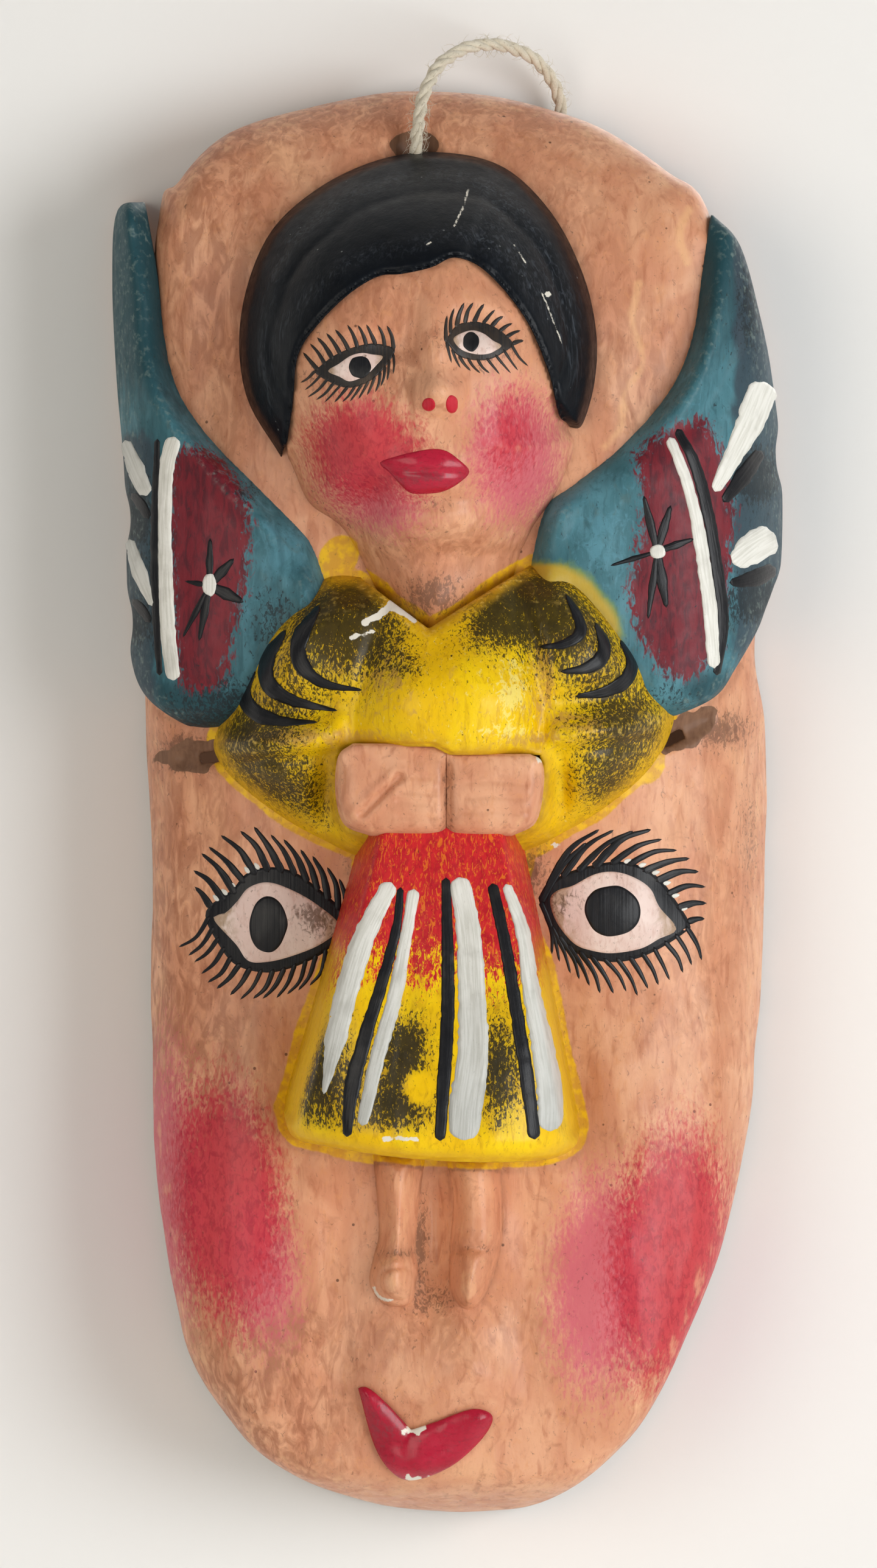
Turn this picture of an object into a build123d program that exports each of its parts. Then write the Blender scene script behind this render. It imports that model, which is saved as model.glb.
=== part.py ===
"""Carved wooden folk mask with a relief figure, hung upright.

X is to the viewer's right, Z is up and the face looks along -Y.
The back rim lies in the plane Y = 0 and the origin is in that plane at mid height.
The carving is divided along its cut lines: each feature stands on the hollowed block.
"""

from build123d import *
import math
import os

# Driving dimensions, millimetres
wall = 11.0
reach = 230.0

cord_diameter = 3.8
bore_diameter = 7.6
knot_radius = 6.0
notch_width = 7.0
notch_depth = 9.5
slit_width = 9.0
slit_height = 3.6

# Outlines, (X, Z) seen from the front. An outline is a list of strokes that join end to end:
# a stroke of two points is straight, a longer one is a smooth curve and a single one is a closed loop.

block_outline = [[
    (-81, 160), (-85, 60), (-82.6, -20), (-81.8, -94), (-74, -149), (-60.5, -178), (-43, -192.5),
    (-18, -200.2), (14, -201.8), (38, -195), (52, -182.5), (63, -163), (74, -136), (81, -109),
    (86.5, -70), (89.3, 0), (86, 80), (75, 160), (62.8, 177.9), (43, 190.2), (16.5, 198.6),
    (-10, 200.3), (-36.4, 196.6), (-60.6, 188.9), (-75, 175),
]]

left_wing_outline = [
    [(-84, 169.5), (-91.5, 167), (-93, 148), (-91.8, 119.5), (-89.6, 93), (-88.8, 62), (-88, 42),
     (-84, 29.5), (-74, 21.5), (-62, 17)],
    [(-62, 17), (-30, 55)],
    [(-30, 55), (-35.5, 71), (-41, 78), (-52, 89), (-65, 102.2), (-75, 115.5), (-79.6, 131),
     (-82, 150), (-84, 169.5)],
]

right_wing_outline = [
    [(74, 166.3), (81.8, 157), (87.3, 137), (90.6, 119.5), (93.3, 93), (93.3, 62), (90.4, 49),
     (82, 36), (74.8, 28.5), (62, 22)],
    [(62, 22), (24, 62)],
    [(24, 62), (28.8, 82), (36.6, 89), (50, 100), (63, 115.3), (69.2, 131), (71.8, 150.5), (74, 166.3)],
]

hair_outline = [
    [(-45.6, 96.8), (-55.8, 115), (-57.2, 137), (-50, 159), (-36.4, 172.6), (-18.7, 181.2),
     (-1.1, 183.4), (16.5, 179.2), (30.2, 166), (39, 148.5), (42.6, 132), (41.2, 115), (36.8, 105.6)],
    [(36.8, 105.6), (29.8, 121.7), (23.1, 137.1), (12.1, 150.3), (0, 154.2), (-12, 150.4),
     (-27.6, 143.7), (-36.4, 134.9), (-41.9, 126.1), (-43.6, 112), (-45.6, 96.8)],
]

head_outline = [
    [(-46, 118), (-44.9, 96), (-39.5, 84), (-29.5, 76), (-21, 60)],
    [(-21, 60), (-4, 42), (18, 60)],
    [(18, 60), (23.5, 75.5), (31, 87), (36, 100), (36, 125), (20, 152), (-4, 160), (-30, 150), (-46, 118)],
]

blouse_outline = [
    [(-24.2, 64), (-4.4, 48.9)],
    [(-4.4, 48.9), (24.5, 67.2)],
    [(24.5, 67.2), (28, 42), (28, 16.2)],
    [(28, 16.2), (-31, 16.2)],
    [(-31, 16.2), (-31, 42), (-24.2, 64)],
]

left_sleeve_outline = [
    [(-24.2, 64), (-34.9, 62.5), (-49.6, 49.5), (-58.6, 32.5), (-65, 18.5), (-63.6, 11), (-57.6, 4),
     (-45, -5.4), (-31, -13), (-22.7, -16.5)],
    [(-22.7, -16.5), (-22.7, -9.8)],
    [(-22.7, -9.8), (-31, -9.8)],
    [(-31, -9.8), (-31, 16.2)],
    [(-31, 16.2), (-31, 42), (-24.2, 64)],
]

right_sleeve_outline = [
    [(24.5, 67.2), (37, 65.2), (49.6, 50.6), (61.5, 33.4), (64.8, 23.6), (58.6, 9.6), (45.4, -2),
     (31, -10.6), (20.9, -15)],
    [(20.9, -15), (20.9, -9.8)],
    [(20.9, -9.8), (28, -9.8)],
    [(28, -9.8), (28, 16.2)],
    [(28, 16.2), (28, 42), (24.5, 67.2)],
]

left_hand_outline = [[(-31, 16.2), (-1.2, 16.2)], [(-1.2, 16.2), (-1.2, -9.8)],
                     [(-1.2, -9.8), (-31, -9.8)], [(-31, -9.8), (-31, 16.2)]]

right_hand_outline = [[(2, 16.2), (28, 16.2)], [(28, 16.2), (28, -9.8)],
                      [(28, -9.8), (2, -9.8)], [(2, -9.8), (2, 16.2)]]

skirt_outline = [
    [(-22.7, -9.8), (20.9, -9.8)],
    [(20.9, -9.8), (28.5, -45), (38.3, -97)],
    [(38.3, -97), (35, -102)],
    [(35, -102), (-43.5, -102)],
    [(-43.5, -102), (-46, -97)],
    [(-46, -97), (-33, -45), (-22.7, -9.8)],
]

left_leg_outline = [
    [(-20.2, -102), (-19.4, -122), (-20.8, -136), (-16.5, -141.6), (-8.6, -141.2), (-5.6, -134),
     (-6, -118), (-5, -102)],
    [(-5, -102), (-20.2, -102)],
]

right_leg_outline = [
    [(-2, -102), (-1.6, -122), (1, -137), (5.5, -143.4), (12, -141.4), (15.8, -132), (16.6, -118),
     (16, -102)],
    [(16, -102), (-2, -102)],
]

lips_outline = [
    [(-24.6, -165.6), (-17.5, -169.4), (-9.6, -177.6)],
    [(-9.6, -177.6), (-2.5, -175.2), (7, -172), (13.2, -174.4), (10.4, -181), (1.5, -188),
     (-8.5, -191.8), (-16, -189.4), (-20.6, -181), (-24.6, -165.6)],
]

# Depth curves, (Y, Z) seen from the side and (X, Y) seen from above

block_side = [(-28, -203), (-50, -197), (-62, -180), (-67, -150), (-66, -110), (-64, -50), (-66, 20),
              (-67, 90), (-61, 140), (-48, 178), (-34, 196), (-27, 203)]
block_plan = [(-95, -24), (-84, -43), (-62, -59), (-32, -67), (0, -70), (32, -67), (62, -59),
              (84, -43), (95, -24)]

wing_side = [(-46, 12), (-66, 28), (-75, 55), (-76, 95), (-68, 130), (-56, 160), (-50, 175)]
wing_plan = [(-96, -33), (-89, -50), (-72, -65), (-50, -74), (0, -80), (50, -74), (72, -65),
             (88, -50), (96, -33)]

head_side = [(-76, 38), (-79, 54), (-82, 68), (-91, 78), (-97, 92), (-103, 108), (-99, 126), (-94, 146),
             (-84, 170)]
head_plan = [(-50, -62), (-42, -82), (-26, -96), (-4, -103), (18, -97), (34, -84), (44, -62)]

hair_side = [(-84, 90), (-90, 105), (-100, 130), (-103, 150), (-95, 168), (-76, 181), (-66, 186)]
hair_plan = [(-61, -64), (-54, -84), (-34, -98), (-4, -106), (22, -100), (40, -86), (48, -64)]

blouse_side = [(-90, 12), (-95, 18), (-100, 32), (-95, 48), (-84, 60), (-76, 72)]
blouse_plan = [(-70, -66), (-46, -80), (-26, -92), (-2, -100), (22, -93), (44, -81), (68, -66)]

sleeve_side = [(-78, -20), (-84, -8), (-88, 8), (-92, 24), (-91, 40), (-84, 56), (-74, 72)]
sleeve_plan = [(-70, -62), (-60, -74), (-42, -86), (-24, -92), (-2, -94), (22, -92), (42, -86),
               (59, -74), (69, -62)]

hands_side = [(-84, -14), (-90, -9), (-95, 4), (-94, 14), (-90, 20)]
hands_plan = [(-34, -80), (-28, -92), (-15, -96), (0, -96), (14, -96), (26, -92), (32, -80)]

skirt_side = [(-84, -4), (-92, -20), (-99, -45), (-107, -80), (-111, -96), (-109, -104)]
skirt_plan = [(-54, -76), (-42, -94), (-24, -107), (-4, -111), (18, -107), (36, -94), (46, -76)]

legs_side = [(-88, -98), (-82, -112), (-79, -126), (-83, -136), (-79, -142), (-70, -147)]
legs_plan = [(-26, -62), (-20, -78), (-12, -84), (-2, -84), (8, -84), (16, -78), (22, -62)]

lips_side = [(-58, -197), (-68, -189), (-75, -178), (-76, -170), (-72, -160)]
lips_plan = [(-30, -66), (-16, -74), (-4, -77), (8, -74), (20, -66)]

# Sight slits beside the elbows, (X, Z)
slit_places = [(-68.2, 11.8), (68.6, 18.6)]

# The cord starts at the knot, leaves by the bore, loops over the rim and returns to the knot
knot_centre = (-3.5, -22, 162)
cord_points = [
    (-5.0, -26.2, 165.6), (-8.2, -36, 174), (-8.2, -47.5, 186), (-6.4, -44.5, 199), (-1.5, -36.5, 209),
    (8, -27, 214.6), (19, -18, 214.6), (28.5, -10.2, 209.4), (33.6, -5.0, 199), (32.8, -3.6, 187),
    (28.2, -9, 176.4), (18, -16.5, 168.4), (3.6, -20.8, 163.6),
]


def side_solid(side_points):
    """Everything behind a side view curve, over the full width."""
    with BuildPart() as solid:
        with BuildSketch(Plane.YZ):
            with BuildLine():
                front = Spline(*side_points)
                Polyline(front @ 1, (0, side_points[-1][1]), (0, side_points[0][1]), front @ 0)
            make_face()
        extrude(amount=reach, both=True)
    return solid.part


def plan_solid(plan_points):
    """Everything behind a plan view curve, over the full height."""
    with BuildPart() as solid:
        with BuildSketch(Plane.XY):
            with BuildLine():
                front = Spline(*plan_points)
                Polyline(front @ 1, (plan_points[-1][0], 0), (plan_points[0][0], 0), front @ 0)
            make_face()
        extrude(amount=reach, both=True)
    return solid.part


def inset_loop(points, distance):
    """A closed loop of points, each moved inwards across the line between its two neighbours."""
    moved = []
    for before, point, after in zip([points[-1]] + points[:-1], points, points[1:] + points[:1]):
        across = Vector(before[1] - after[1], after[0] - before[0]).normalized()
        moved.append((point[0] + distance * across.X, point[1] + distance * across.Y))
    return moved


def prism(outline):
    """An outline seen from the front, taken straight back to the rim plane."""
    with BuildPart() as solid:
        with BuildSketch(Plane.XZ):
            with BuildLine():
                for stroke in outline:
                    if len(stroke) == 2:
                        Line(*stroke)
                    else:
                        Spline(*stroke, periodic=len(outline) == 1)
            make_face()
        extrude(amount=reach)
    return solid.part


def carved(outline, side_points, plan_points):
    """The solid that has this outline from the front and these curves from the side and above."""
    with BuildPart() as solid:
        add(prism(outline))
        add(side_solid(side_points), mode=Mode.INTERSECT)
        add(plan_solid(plan_points), mode=Mode.INTERSECT)
    return solid.part


def relief(outline, side_points, plan_points, beside=()):
    """A raised feature that stands on the block and ends where its neighbours' outlines begin."""
    with BuildPart() as feature:
        add(carved(outline, side_points, plan_points))
        add(block, mode=Mode.SUBTRACT)
        for neighbour in beside:
            add(prism(neighbour), mode=Mode.SUBTRACT)
    return feature.part


def save(piece, label):
    """Name a finished piece and write it."""
    piece.label = label
    export_step(piece, os.path.join("parts", label + ".step"))


os.makedirs("parts", exist_ok=True)

# Face shell: the block, hollowed from behind, with its cord bore, rim notch and sight slits

block = carved(block_outline, block_side, block_plan)
hollow = carved(
    [inset_loop(block_outline[0], wall)],
    [(y + wall, z) for y, z in block_side],
    [(x, y + wall) for x, y in block_plan],
)

bore_start = Vector(*cord_points[1])
bore_direction = (Vector(*cord_points[2]) - bore_start).normalized()
bore_plane = Plane(origin=bore_start - bore_direction * wall, z_dir=bore_direction)
notch_place = (cord_points[9][0] - 0.4, cord_points[9][2])

with BuildPart() as bore:
    with BuildSketch(bore_plane):
        Circle(bore_diameter / 2)
    extrude(amount=3.5 * wall)

with BuildPart() as face_shell:
    add(block)
    add(hollow, mode=Mode.SUBTRACT)
    add(bore.part, mode=Mode.SUBTRACT)
    with BuildSketch(Plane.XZ):
        with Locations(notch_place):
            Rectangle(notch_width, 3 * wall)
    extrude(amount=notch_depth, mode=Mode.SUBTRACT)
    with BuildSketch(Plane.XZ):
        with Locations(*slit_places):
            SlotOverall(slit_width, slit_height)
    extrude(amount=reach, mode=Mode.SUBTRACT)
save(face_shell.part, "face_shell")

# Wings on the sides of the block

with BuildPart() as left_wing:
    add(relief(left_wing_outline, wing_side, wing_plan, beside=[left_sleeve_outline, blouse_outline]))
save(left_wing.part, "left_wing")

with BuildPart() as right_wing:
    add(relief(right_wing_outline, wing_side, wing_plan, beside=[right_sleeve_outline, blouse_outline]))
save(right_wing.part, "right_wing")

# Head of the figure; the cord bore cuts into the top of the hair

with BuildPart() as figure_hair:
    add(relief(hair_outline, hair_side, hair_plan))
    add(bore.part, mode=Mode.SUBTRACT)
save(figure_hair.part, "figure_hair")

with BuildPart() as figure_head:
    add(relief(head_outline, head_side, head_plan,
               beside=[hair_outline, blouse_outline, left_sleeve_outline, right_sleeve_outline,
                       left_wing_outline, right_wing_outline]))
save(figure_head.part, "figure_head")

# Blouse, sleeves and hands

with BuildPart() as blouse:
    add(relief(blouse_outline, blouse_side, blouse_plan))
save(blouse.part, "blouse")

with BuildPart() as left_sleeve:
    add(relief(left_sleeve_outline, sleeve_side, sleeve_plan))
save(left_sleeve.part, "left_sleeve")

with BuildPart() as right_sleeve:
    add(relief(right_sleeve_outline, sleeve_side, sleeve_plan))
save(right_sleeve.part, "right_sleeve")

with BuildPart() as left_hand:
    add(relief(left_hand_outline, hands_side, hands_plan))
save(left_hand.part, "left_hand")

with BuildPart() as right_hand:
    add(relief(right_hand_outline, hands_side, hands_plan))
save(right_hand.part, "right_hand")

# Skirt, legs and the large face's lips

with BuildPart() as skirt:
    add(relief(skirt_outline, skirt_side, skirt_plan, beside=[left_sleeve_outline, right_sleeve_outline]))
save(skirt.part, "skirt")

with BuildPart() as left_leg:
    add(relief(left_leg_outline, legs_side, legs_plan))
save(left_leg.part, "left_leg")

with BuildPart() as right_leg:
    add(relief(right_leg_outline, legs_side, legs_plan))
save(right_leg.part, "right_leg")

with BuildPart() as lips:
    add(relief(lips_outline, lips_side, lips_plan))
save(lips.part, "lips")

# Hanging cord: straight runs joined by arcs as large as the runs allow

cord_corners = [Vector(*point) for point in cord_points]
cord_radii = []
for before, corner, after in zip(cord_corners, cord_corners[1:], cord_corners[2:]):
    half_turn = math.radians((corner - before).get_angle(after - corner)) / 2
    shorter_run = min((corner - before).length, (after - corner).length)
    cord_radii.append(0.45 * shorter_run / math.tan(half_turn))
print("cord radii", [round(radius, 1) for radius in cord_radii])

with BuildPart() as hanging_cord:
    with BuildLine() as cord_line:
        FilletPolyline(*cord_points, radius=cord_radii)
    with BuildSketch(Plane(origin=cord_line.line @ 0, z_dir=cord_line.line % 0)):
        Circle(cord_diameter / 2)
    sweep(path=cord_line.line)
save(hanging_cord.part, "hanging_cord")

cord_length = sum(edge.length for edge in cord_line.line.edges())
cord_section = math.pi * (cord_diameter / 2) ** 2
print("cord length", round(cord_length, 1), "volume over section times length",
      round(hanging_cord.part.volume / (cord_section * cord_length), 4))

with BuildPart() as cord_knot:
    with Locations(knot_centre):
        Sphere(knot_radius)
    add(hanging_cord.part, mode=Mode.SUBTRACT)
save(cord_knot.part, "cord_knot")
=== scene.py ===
"""Carved and painted folk mask, hung upright.

Every carved piece is a height map over its outline, filled into a distance volume and meshed.
Painted strokes are thin closed ribbons laid on the carved surface. Sculpting is in millimetres
in the frame's own axes: X to the viewer's right, Z up and the face towards -Y. A height is a
distance towards the viewer, so it is minus Y.
"""

import math
import bmesh
import bpy
import numpy as np
import openvdb
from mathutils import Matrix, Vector


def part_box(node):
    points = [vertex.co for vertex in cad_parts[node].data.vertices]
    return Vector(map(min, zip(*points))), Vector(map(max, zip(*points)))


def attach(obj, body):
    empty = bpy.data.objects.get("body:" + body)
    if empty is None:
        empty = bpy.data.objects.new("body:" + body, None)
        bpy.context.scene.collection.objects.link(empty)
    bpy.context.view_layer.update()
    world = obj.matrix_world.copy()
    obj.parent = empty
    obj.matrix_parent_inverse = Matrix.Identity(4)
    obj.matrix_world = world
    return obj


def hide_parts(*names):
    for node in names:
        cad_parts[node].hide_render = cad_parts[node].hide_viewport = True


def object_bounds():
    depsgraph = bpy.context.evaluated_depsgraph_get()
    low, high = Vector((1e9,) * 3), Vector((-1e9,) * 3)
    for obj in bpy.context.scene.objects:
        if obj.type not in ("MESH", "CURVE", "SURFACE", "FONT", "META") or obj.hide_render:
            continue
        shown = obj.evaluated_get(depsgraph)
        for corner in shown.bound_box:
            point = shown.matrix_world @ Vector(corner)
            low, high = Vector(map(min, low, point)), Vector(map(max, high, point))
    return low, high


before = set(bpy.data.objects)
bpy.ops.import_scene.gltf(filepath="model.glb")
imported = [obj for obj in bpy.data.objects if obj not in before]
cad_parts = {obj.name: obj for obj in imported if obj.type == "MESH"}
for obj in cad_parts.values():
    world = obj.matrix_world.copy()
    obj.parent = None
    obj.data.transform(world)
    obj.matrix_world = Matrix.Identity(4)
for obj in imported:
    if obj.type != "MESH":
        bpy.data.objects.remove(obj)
cad_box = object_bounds()

MM = 0.001
VIEWPOINT = (-0.0018, -3.555, 0.0049)
DRAWN_AT = 35.0


# ------------------------------------------------------------------ places, taken from the frame

def node_box(node):
    """A node's lowest and highest corners in millimetres."""
    low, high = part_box(node)
    return np.array(low) / MM, np.array(high) / MM


def peak(node):
    """How far a node's front stands towards the viewer."""
    return -node_box(node)[0][1]


def fitted(strokes, node, below=0.0, above=0.0):
    """An outline drawn as joined strokes, scaled to fill its node's box.

    below and above are how far it goes on past the box, under the neighbouring pieces.
    """
    low, high = node_box(node)
    low, high = low[[0, 2]] - (0, below), high[[0, 2]] + (0, above)
    corners = np.array([point for stroke in strokes for point in stroke], float)
    least, most = corners.min(axis=0), corners.max(axis=0)
    scale = (high - low) / (most - least)
    return [[tuple(low + (np.array(point) - least) * scale) for point in stroke] for stroke in strokes]


# ------------------------------------------------------------------ curves, outlines and noise

def catmull(points, steps, closed=False):
    """Points along a smooth curve through the given ones, in two or three dimensions."""
    given = np.array(points, float)
    if closed:
        padded = np.vstack([given[-1:], given, given[:2]])
    else:
        padded = np.vstack([2 * given[0] - given[1], given, 2 * given[-1] - given[-2]])
    before, start, end, after = padded[:-3], padded[1:-2], padded[2:-1], padded[3:]
    t = np.linspace(0, 1, steps, endpoint=False)[:, None, None]
    run = 0.5 * (2 * start + (end - before) * t
                 + (2 * before - 5 * start + 4 * end - after) * t ** 2
                 + (3 * start - before - 3 * end + after) * t ** 3)
    line = run.transpose(1, 0, 2).reshape(-1, given.shape[1])
    return line if closed else np.vstack([line, given[-1:]])


def loop_of(strokes):
    """A closed loop of points from strokes; two points are straight and one stroke is a ring."""
    if len(strokes) == 1:
        return catmull(strokes[0], 6, closed=True)
    lines = [np.array(stroke, float) if len(stroke) == 2 else catmull(stroke, 6) for stroke in strokes]
    return np.vstack([line[:-1] for line in lines])


def loop_distance(loop, x, z):
    """Signed distance from a closed loop, negative inside it."""
    px, pz = np.ravel(x), np.ravel(z)
    nearest = np.full(px.shape, 1e9)
    inside = np.zeros(px.shape, bool)
    for (ax, az), (bx, bz) in zip(loop, np.roll(loop, -1, axis=0)):
        ex, ez = bx - ax, bz - az
        wx, wz = px - ax, pz - az
        along = np.clip((wx * ex + wz * ez) / (ex * ex + ez * ez + 1e-12), 0, 1)
        nearest = np.minimum(nearest, (wx - ex * along) ** 2 + (wz - ez * along) ** 2)
        if az != bz:
            inside ^= ((az > pz) != (bz > pz)) & (px < ax + ex * (pz - az) / ez)
    return (np.where(inside, -1, 1) * np.sqrt(nearest)).reshape(np.shape(x))


def line_distance(points, x, z):
    """Distance from an open line of points."""
    nearest = np.full(np.shape(x), 1e9)
    for (ax, az), (bx, bz) in zip(points, points[1:]):
        ex, ez = bx - ax, bz - az
        along = np.clip(((x - ax) * ex + (z - az) * ez) / (ex * ex + ez * ez), 0, 1)
        nearest = np.minimum(nearest, np.hypot(x - ax - ex * along, z - az - ez * along))
    return nearest


def curve(points):
    """A smooth function through (place, value) points."""
    places, values = np.array(sorted(points), float).T
    slopes = np.gradient(values, places)

    def value(t):
        t = np.clip(t, places[0], places[-1])
        k = np.clip(np.searchsorted(places, t) - 1, 0, len(places) - 2)
        span = places[k + 1] - places[k]
        s = (t - places[k]) / span
        return (values[k] * (2 * s ** 3 - 3 * s ** 2 + 1) + slopes[k] * span * (s ** 3 - 2 * s ** 2 + s)
                + values[k + 1] * (3 * s ** 2 - 2 * s ** 3) + slopes[k + 1] * span * (s ** 3 - s ** 2))
    return value


def step(low, high, t):
    """0 below low, 1 above high and smooth between."""
    s = np.clip((t - low) / (high - low), 0, 1)
    return s * s * (3 - 2 * s)


def soft_min(a, b, width):
    """The smaller of two surfaces, blended where they are within width of each other."""
    h = np.clip(0.5 + 0.5 * (b - a) / width, 0, 1)
    return b * (1 - h) + a * h - width * h * (1 - h)


def soft_max(a, b, width):
    return -soft_min(-a, -b, width)


def bump(x, z, centre, radii, turn=0.0, power=2.0):
    """A soft round mound of height 1."""
    c, s = math.cos(math.radians(turn)), math.sin(math.radians(turn))
    u = ((x - centre[0]) * c + (z - centre[1]) * s) / radii[0]
    v = (-(x - centre[0]) * s + (z - centre[1]) * c) / radii[1]
    return np.exp(-(u * u + v * v) ** (power / 2))


def oval(x, z, centre, radii, turn=0.0):
    """Millimetres outside an ellipse, negative inside."""
    c, s = math.cos(math.radians(turn)), math.sin(math.radians(turn))
    u = ((x - centre[0]) * c + (z - centre[1]) * s) / radii[0]
    v = (-(x - centre[0]) * s + (z - centre[1]) * c) / radii[1]
    return (np.hypot(u, v) - 1) * min(radii)


def rough(x, z, size, seed, stretch=1.0):
    """Smooth noise between -1 and 1 with features about size across, longer along Z by stretch."""
    table = np.random.default_rng(seed).uniform(-1, 1, (256, 256))
    u, v = x / size + 100.0, z / (size * stretch) + 100.0
    iu, iv = np.floor(u).astype(int), np.floor(v).astype(int)
    fu, fv = u - iu, v - iv
    fu, fv = fu * fu * (3 - 2 * fu), fv * fv * (3 - 2 * fv)
    a, b = table[iu % 256, iv % 256], table[(iu + 1) % 256, iv % 256]
    c, d = table[iu % 256, (iv + 1) % 256], table[(iu + 1) % 256, (iv + 1) % 256]
    return (a * (1 - fu) + b * fu) * (1 - fv) + (c * (1 - fu) + d * fu) * fv


def rounded(edge, radius):
    """How far a surface drops near its outline, as a quarter circle of this radius."""
    inward = np.clip(radius + edge, 0, radius)
    return radius - np.sqrt(np.maximum(radius * radius - inward * inward, 0))


def swell(inward, width):
    """0 at an outline and 1 from width inside it, rising fast and then levelling off."""
    share = np.clip(inward / width, 0, 1)
    return 1 - (1 - share) ** 2.2


def gouge(x, z, size, depth, seed, stretch=1.6):
    """Shallow tool scallops: overlapping bowls at jittered places."""
    dice = np.random.default_rng(seed).uniform(-0.4, 0.4, (64, 64, 2))
    u, v = x / size + 30.0, z / (size * stretch) + 30.0
    iu, iv = np.floor(u).astype(int), np.floor(v).astype(int)
    bowl = np.full(np.shape(u), 9.0)
    for du in (-1, 0, 1):
        for dv in (-1, 0, 1):
            jitter = dice[(iu + du) % 64, (iv + dv) % 64]
            cu, cv = iu + du + 0.5 + jitter[..., 0], iv + dv + 0.5 + jitter[..., 1]
            bowl = np.minimum(bowl, (u - cu) ** 2 + (v - cv) ** 2)
    return depth * (np.minimum(bowl, 1.0) - 0.5)


# ------------------------------------------------------------------ outlines, drawn from the front

SHELL = fitted([[
    (-81, 160), (-85, 60), (-82.6, -20), (-81.8, -94), (-74, -149), (-60.5, -178), (-43, -192.5),
    (-18, -200.8), (10, -201.8), (34, -194.4), (49, -182), (62, -163), (74, -136), (81, -109),
    (86.5, -70), (89.3, 0), (86, 80), (75, 160), (62.8, 177.9), (43, 190.2), (16.5, 198.6),
    (-10, 200.3), (-36.4, 196.6), (-60.6, 188.9), (-75, 175),
]], "face_shell")

LEFT_WING = fitted([
    [(-83.6, 169.5), (-91.5, 167), (-93, 148), (-91.8, 119.5), (-89.6, 93), (-88.8, 62), (-88, 42),
     (-84, 29.5), (-74, 21.5), (-62, 17)],
    [(-62, 17), (-30, 55)],
    [(-30, 55), (-35.5, 71), (-41, 78), (-52, 89), (-65, 102.2), (-74, 115.5), (-78, 131),
     (-80.2, 150), (-83.6, 169.5)],
], "left_wing")

RIGHT_WING = fitted([
    [(74, 166.3), (81.8, 157), (87.3, 137), (90.6, 119.5), (93.3, 93), (92.6, 62), (87.2, 49),
     (80.6, 37), (74.8, 28.5), (62, 22)],
    [(62, 22), (24, 62)],
    [(24, 62), (28.8, 82), (36.6, 89), (50, 100), (63, 115.3), (69.2, 131), (71.8, 150.5), (74, 166.3)],
], "right_wing")

HAIR = fitted([
    [(-45.6, 96.8), (-55.8, 115), (-57.2, 137), (-50, 159), (-36.4, 172.6), (-18.7, 181.2),
     (-1.1, 183.4), (16.5, 179.2), (30.2, 166), (39, 148.5), (42.6, 132), (42.0, 118),
     (38.6, 106.4), (35.2, 105.6)],
    [(35.2, 105.6), (32.6, 110), (29.8, 121.7), (23.1, 137.1), (12.1, 150.3), (3, 154.4), (-4, 151.6),
     (-12, 149.8), (-19, 149), (-27.6, 143.7), (-36.4, 134.9), (-41.9, 126.1), (-43.4, 112), (-45.6, 96.8)],
], "figure_hair")

HEAD_BELOW, HEAD_ABOVE = 6.9, 5.8

HEAD = fitted([
    [(-46, 118), (-44.9, 96), (-39.5, 84), (-29.5, 76), (-21, 60)],
    [(-21, 60), (-4, 42), (18, 60)],
    [(18, 60), (23.5, 75.5), (31, 87), (36, 100), (36, 125), (20, 152), (-4, 160), (-30, 150), (-46, 118)],
], "figure_head", below=HEAD_BELOW, above=HEAD_ABOVE)

BLOUSE = fitted([
    [(-24.2, 64), (-4.4, 48.9)],
    [(-4.4, 48.9), (24.5, 67.2)],
    [(24.5, 67.2), (28, 42), (28, 16.2)],
    [(28, 16.2), (-31, 16.2)],
    [(-31, 16.2), (-31, 42), (-24.2, 64)],
], "blouse")

LEFT_SLEEVE = fitted([
    [(-24.2, 64), (-34.9, 62.5), (-49.6, 49.5), (-58.6, 32.5), (-65, 18.5), (-63.6, 11), (-57.6, 4),
     (-45, -5.4), (-31, -13), (-22.7, -16.5)],
    [(-22.7, -16.5), (-22.7, -9.8)],
    [(-22.7, -9.8), (-31, -9.8)],
    [(-31, -9.8), (-31, 16.2)],
    [(-31, 16.2), (-31, 42), (-24.2, 64)],
], "left_sleeve")

RIGHT_SLEEVE = fitted([
    [(24.5, 67.2), (37, 65.2), (49.6, 50.6), (61.5, 33.4), (64.8, 23.6), (58.6, 9.6), (45.4, -2),
     (31, -10.6), (20.9, -15)],
    [(20.9, -15), (20.9, -9.8)],
    [(20.9, -9.8), (28, -9.8)],
    [(28, -9.8), (28, 16.2)],
    [(28, 16.2), (28, 42), (24.5, 67.2)],
], "right_sleeve")

HANDS_MEET = 0.4


def hand_outline(node, outer):
    """A hand is a block from its outer side to the middle of the groove, lapping under the sleeves."""
    low, high = node_box(node)
    (left, right), (bottom, top) = sorted((outer, HANDS_MEET)), (low[2] - 2.5, high[2] + 2.0)
    return [[(left, bottom), (right, bottom)], [(right, bottom), (right, top)],
            [(right, top), (left, top)], [(left, top), (left, bottom)]]


LEFT_HAND = hand_outline("left_hand", node_box("left_hand")[0][0] - 1.5)
RIGHT_HAND = hand_outline("right_hand", node_box("right_hand")[1][0] + 1.5)

SKIRT = fitted([
    [(-22.7, -9.8), (20.9, -9.8)],
    [(20.9, -9.8), (28.5, -45), (38.3, -92)],
    [(38.3, -92), (36.5, -98), (28, -101.4), (8, -102), (-14, -100.6), (-34, -97.6), (-43, -95), (-46, -87)],
    [(-46, -87), (-33, -45), (-22.7, -9.8)],
], "skirt", above=4.0)

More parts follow.
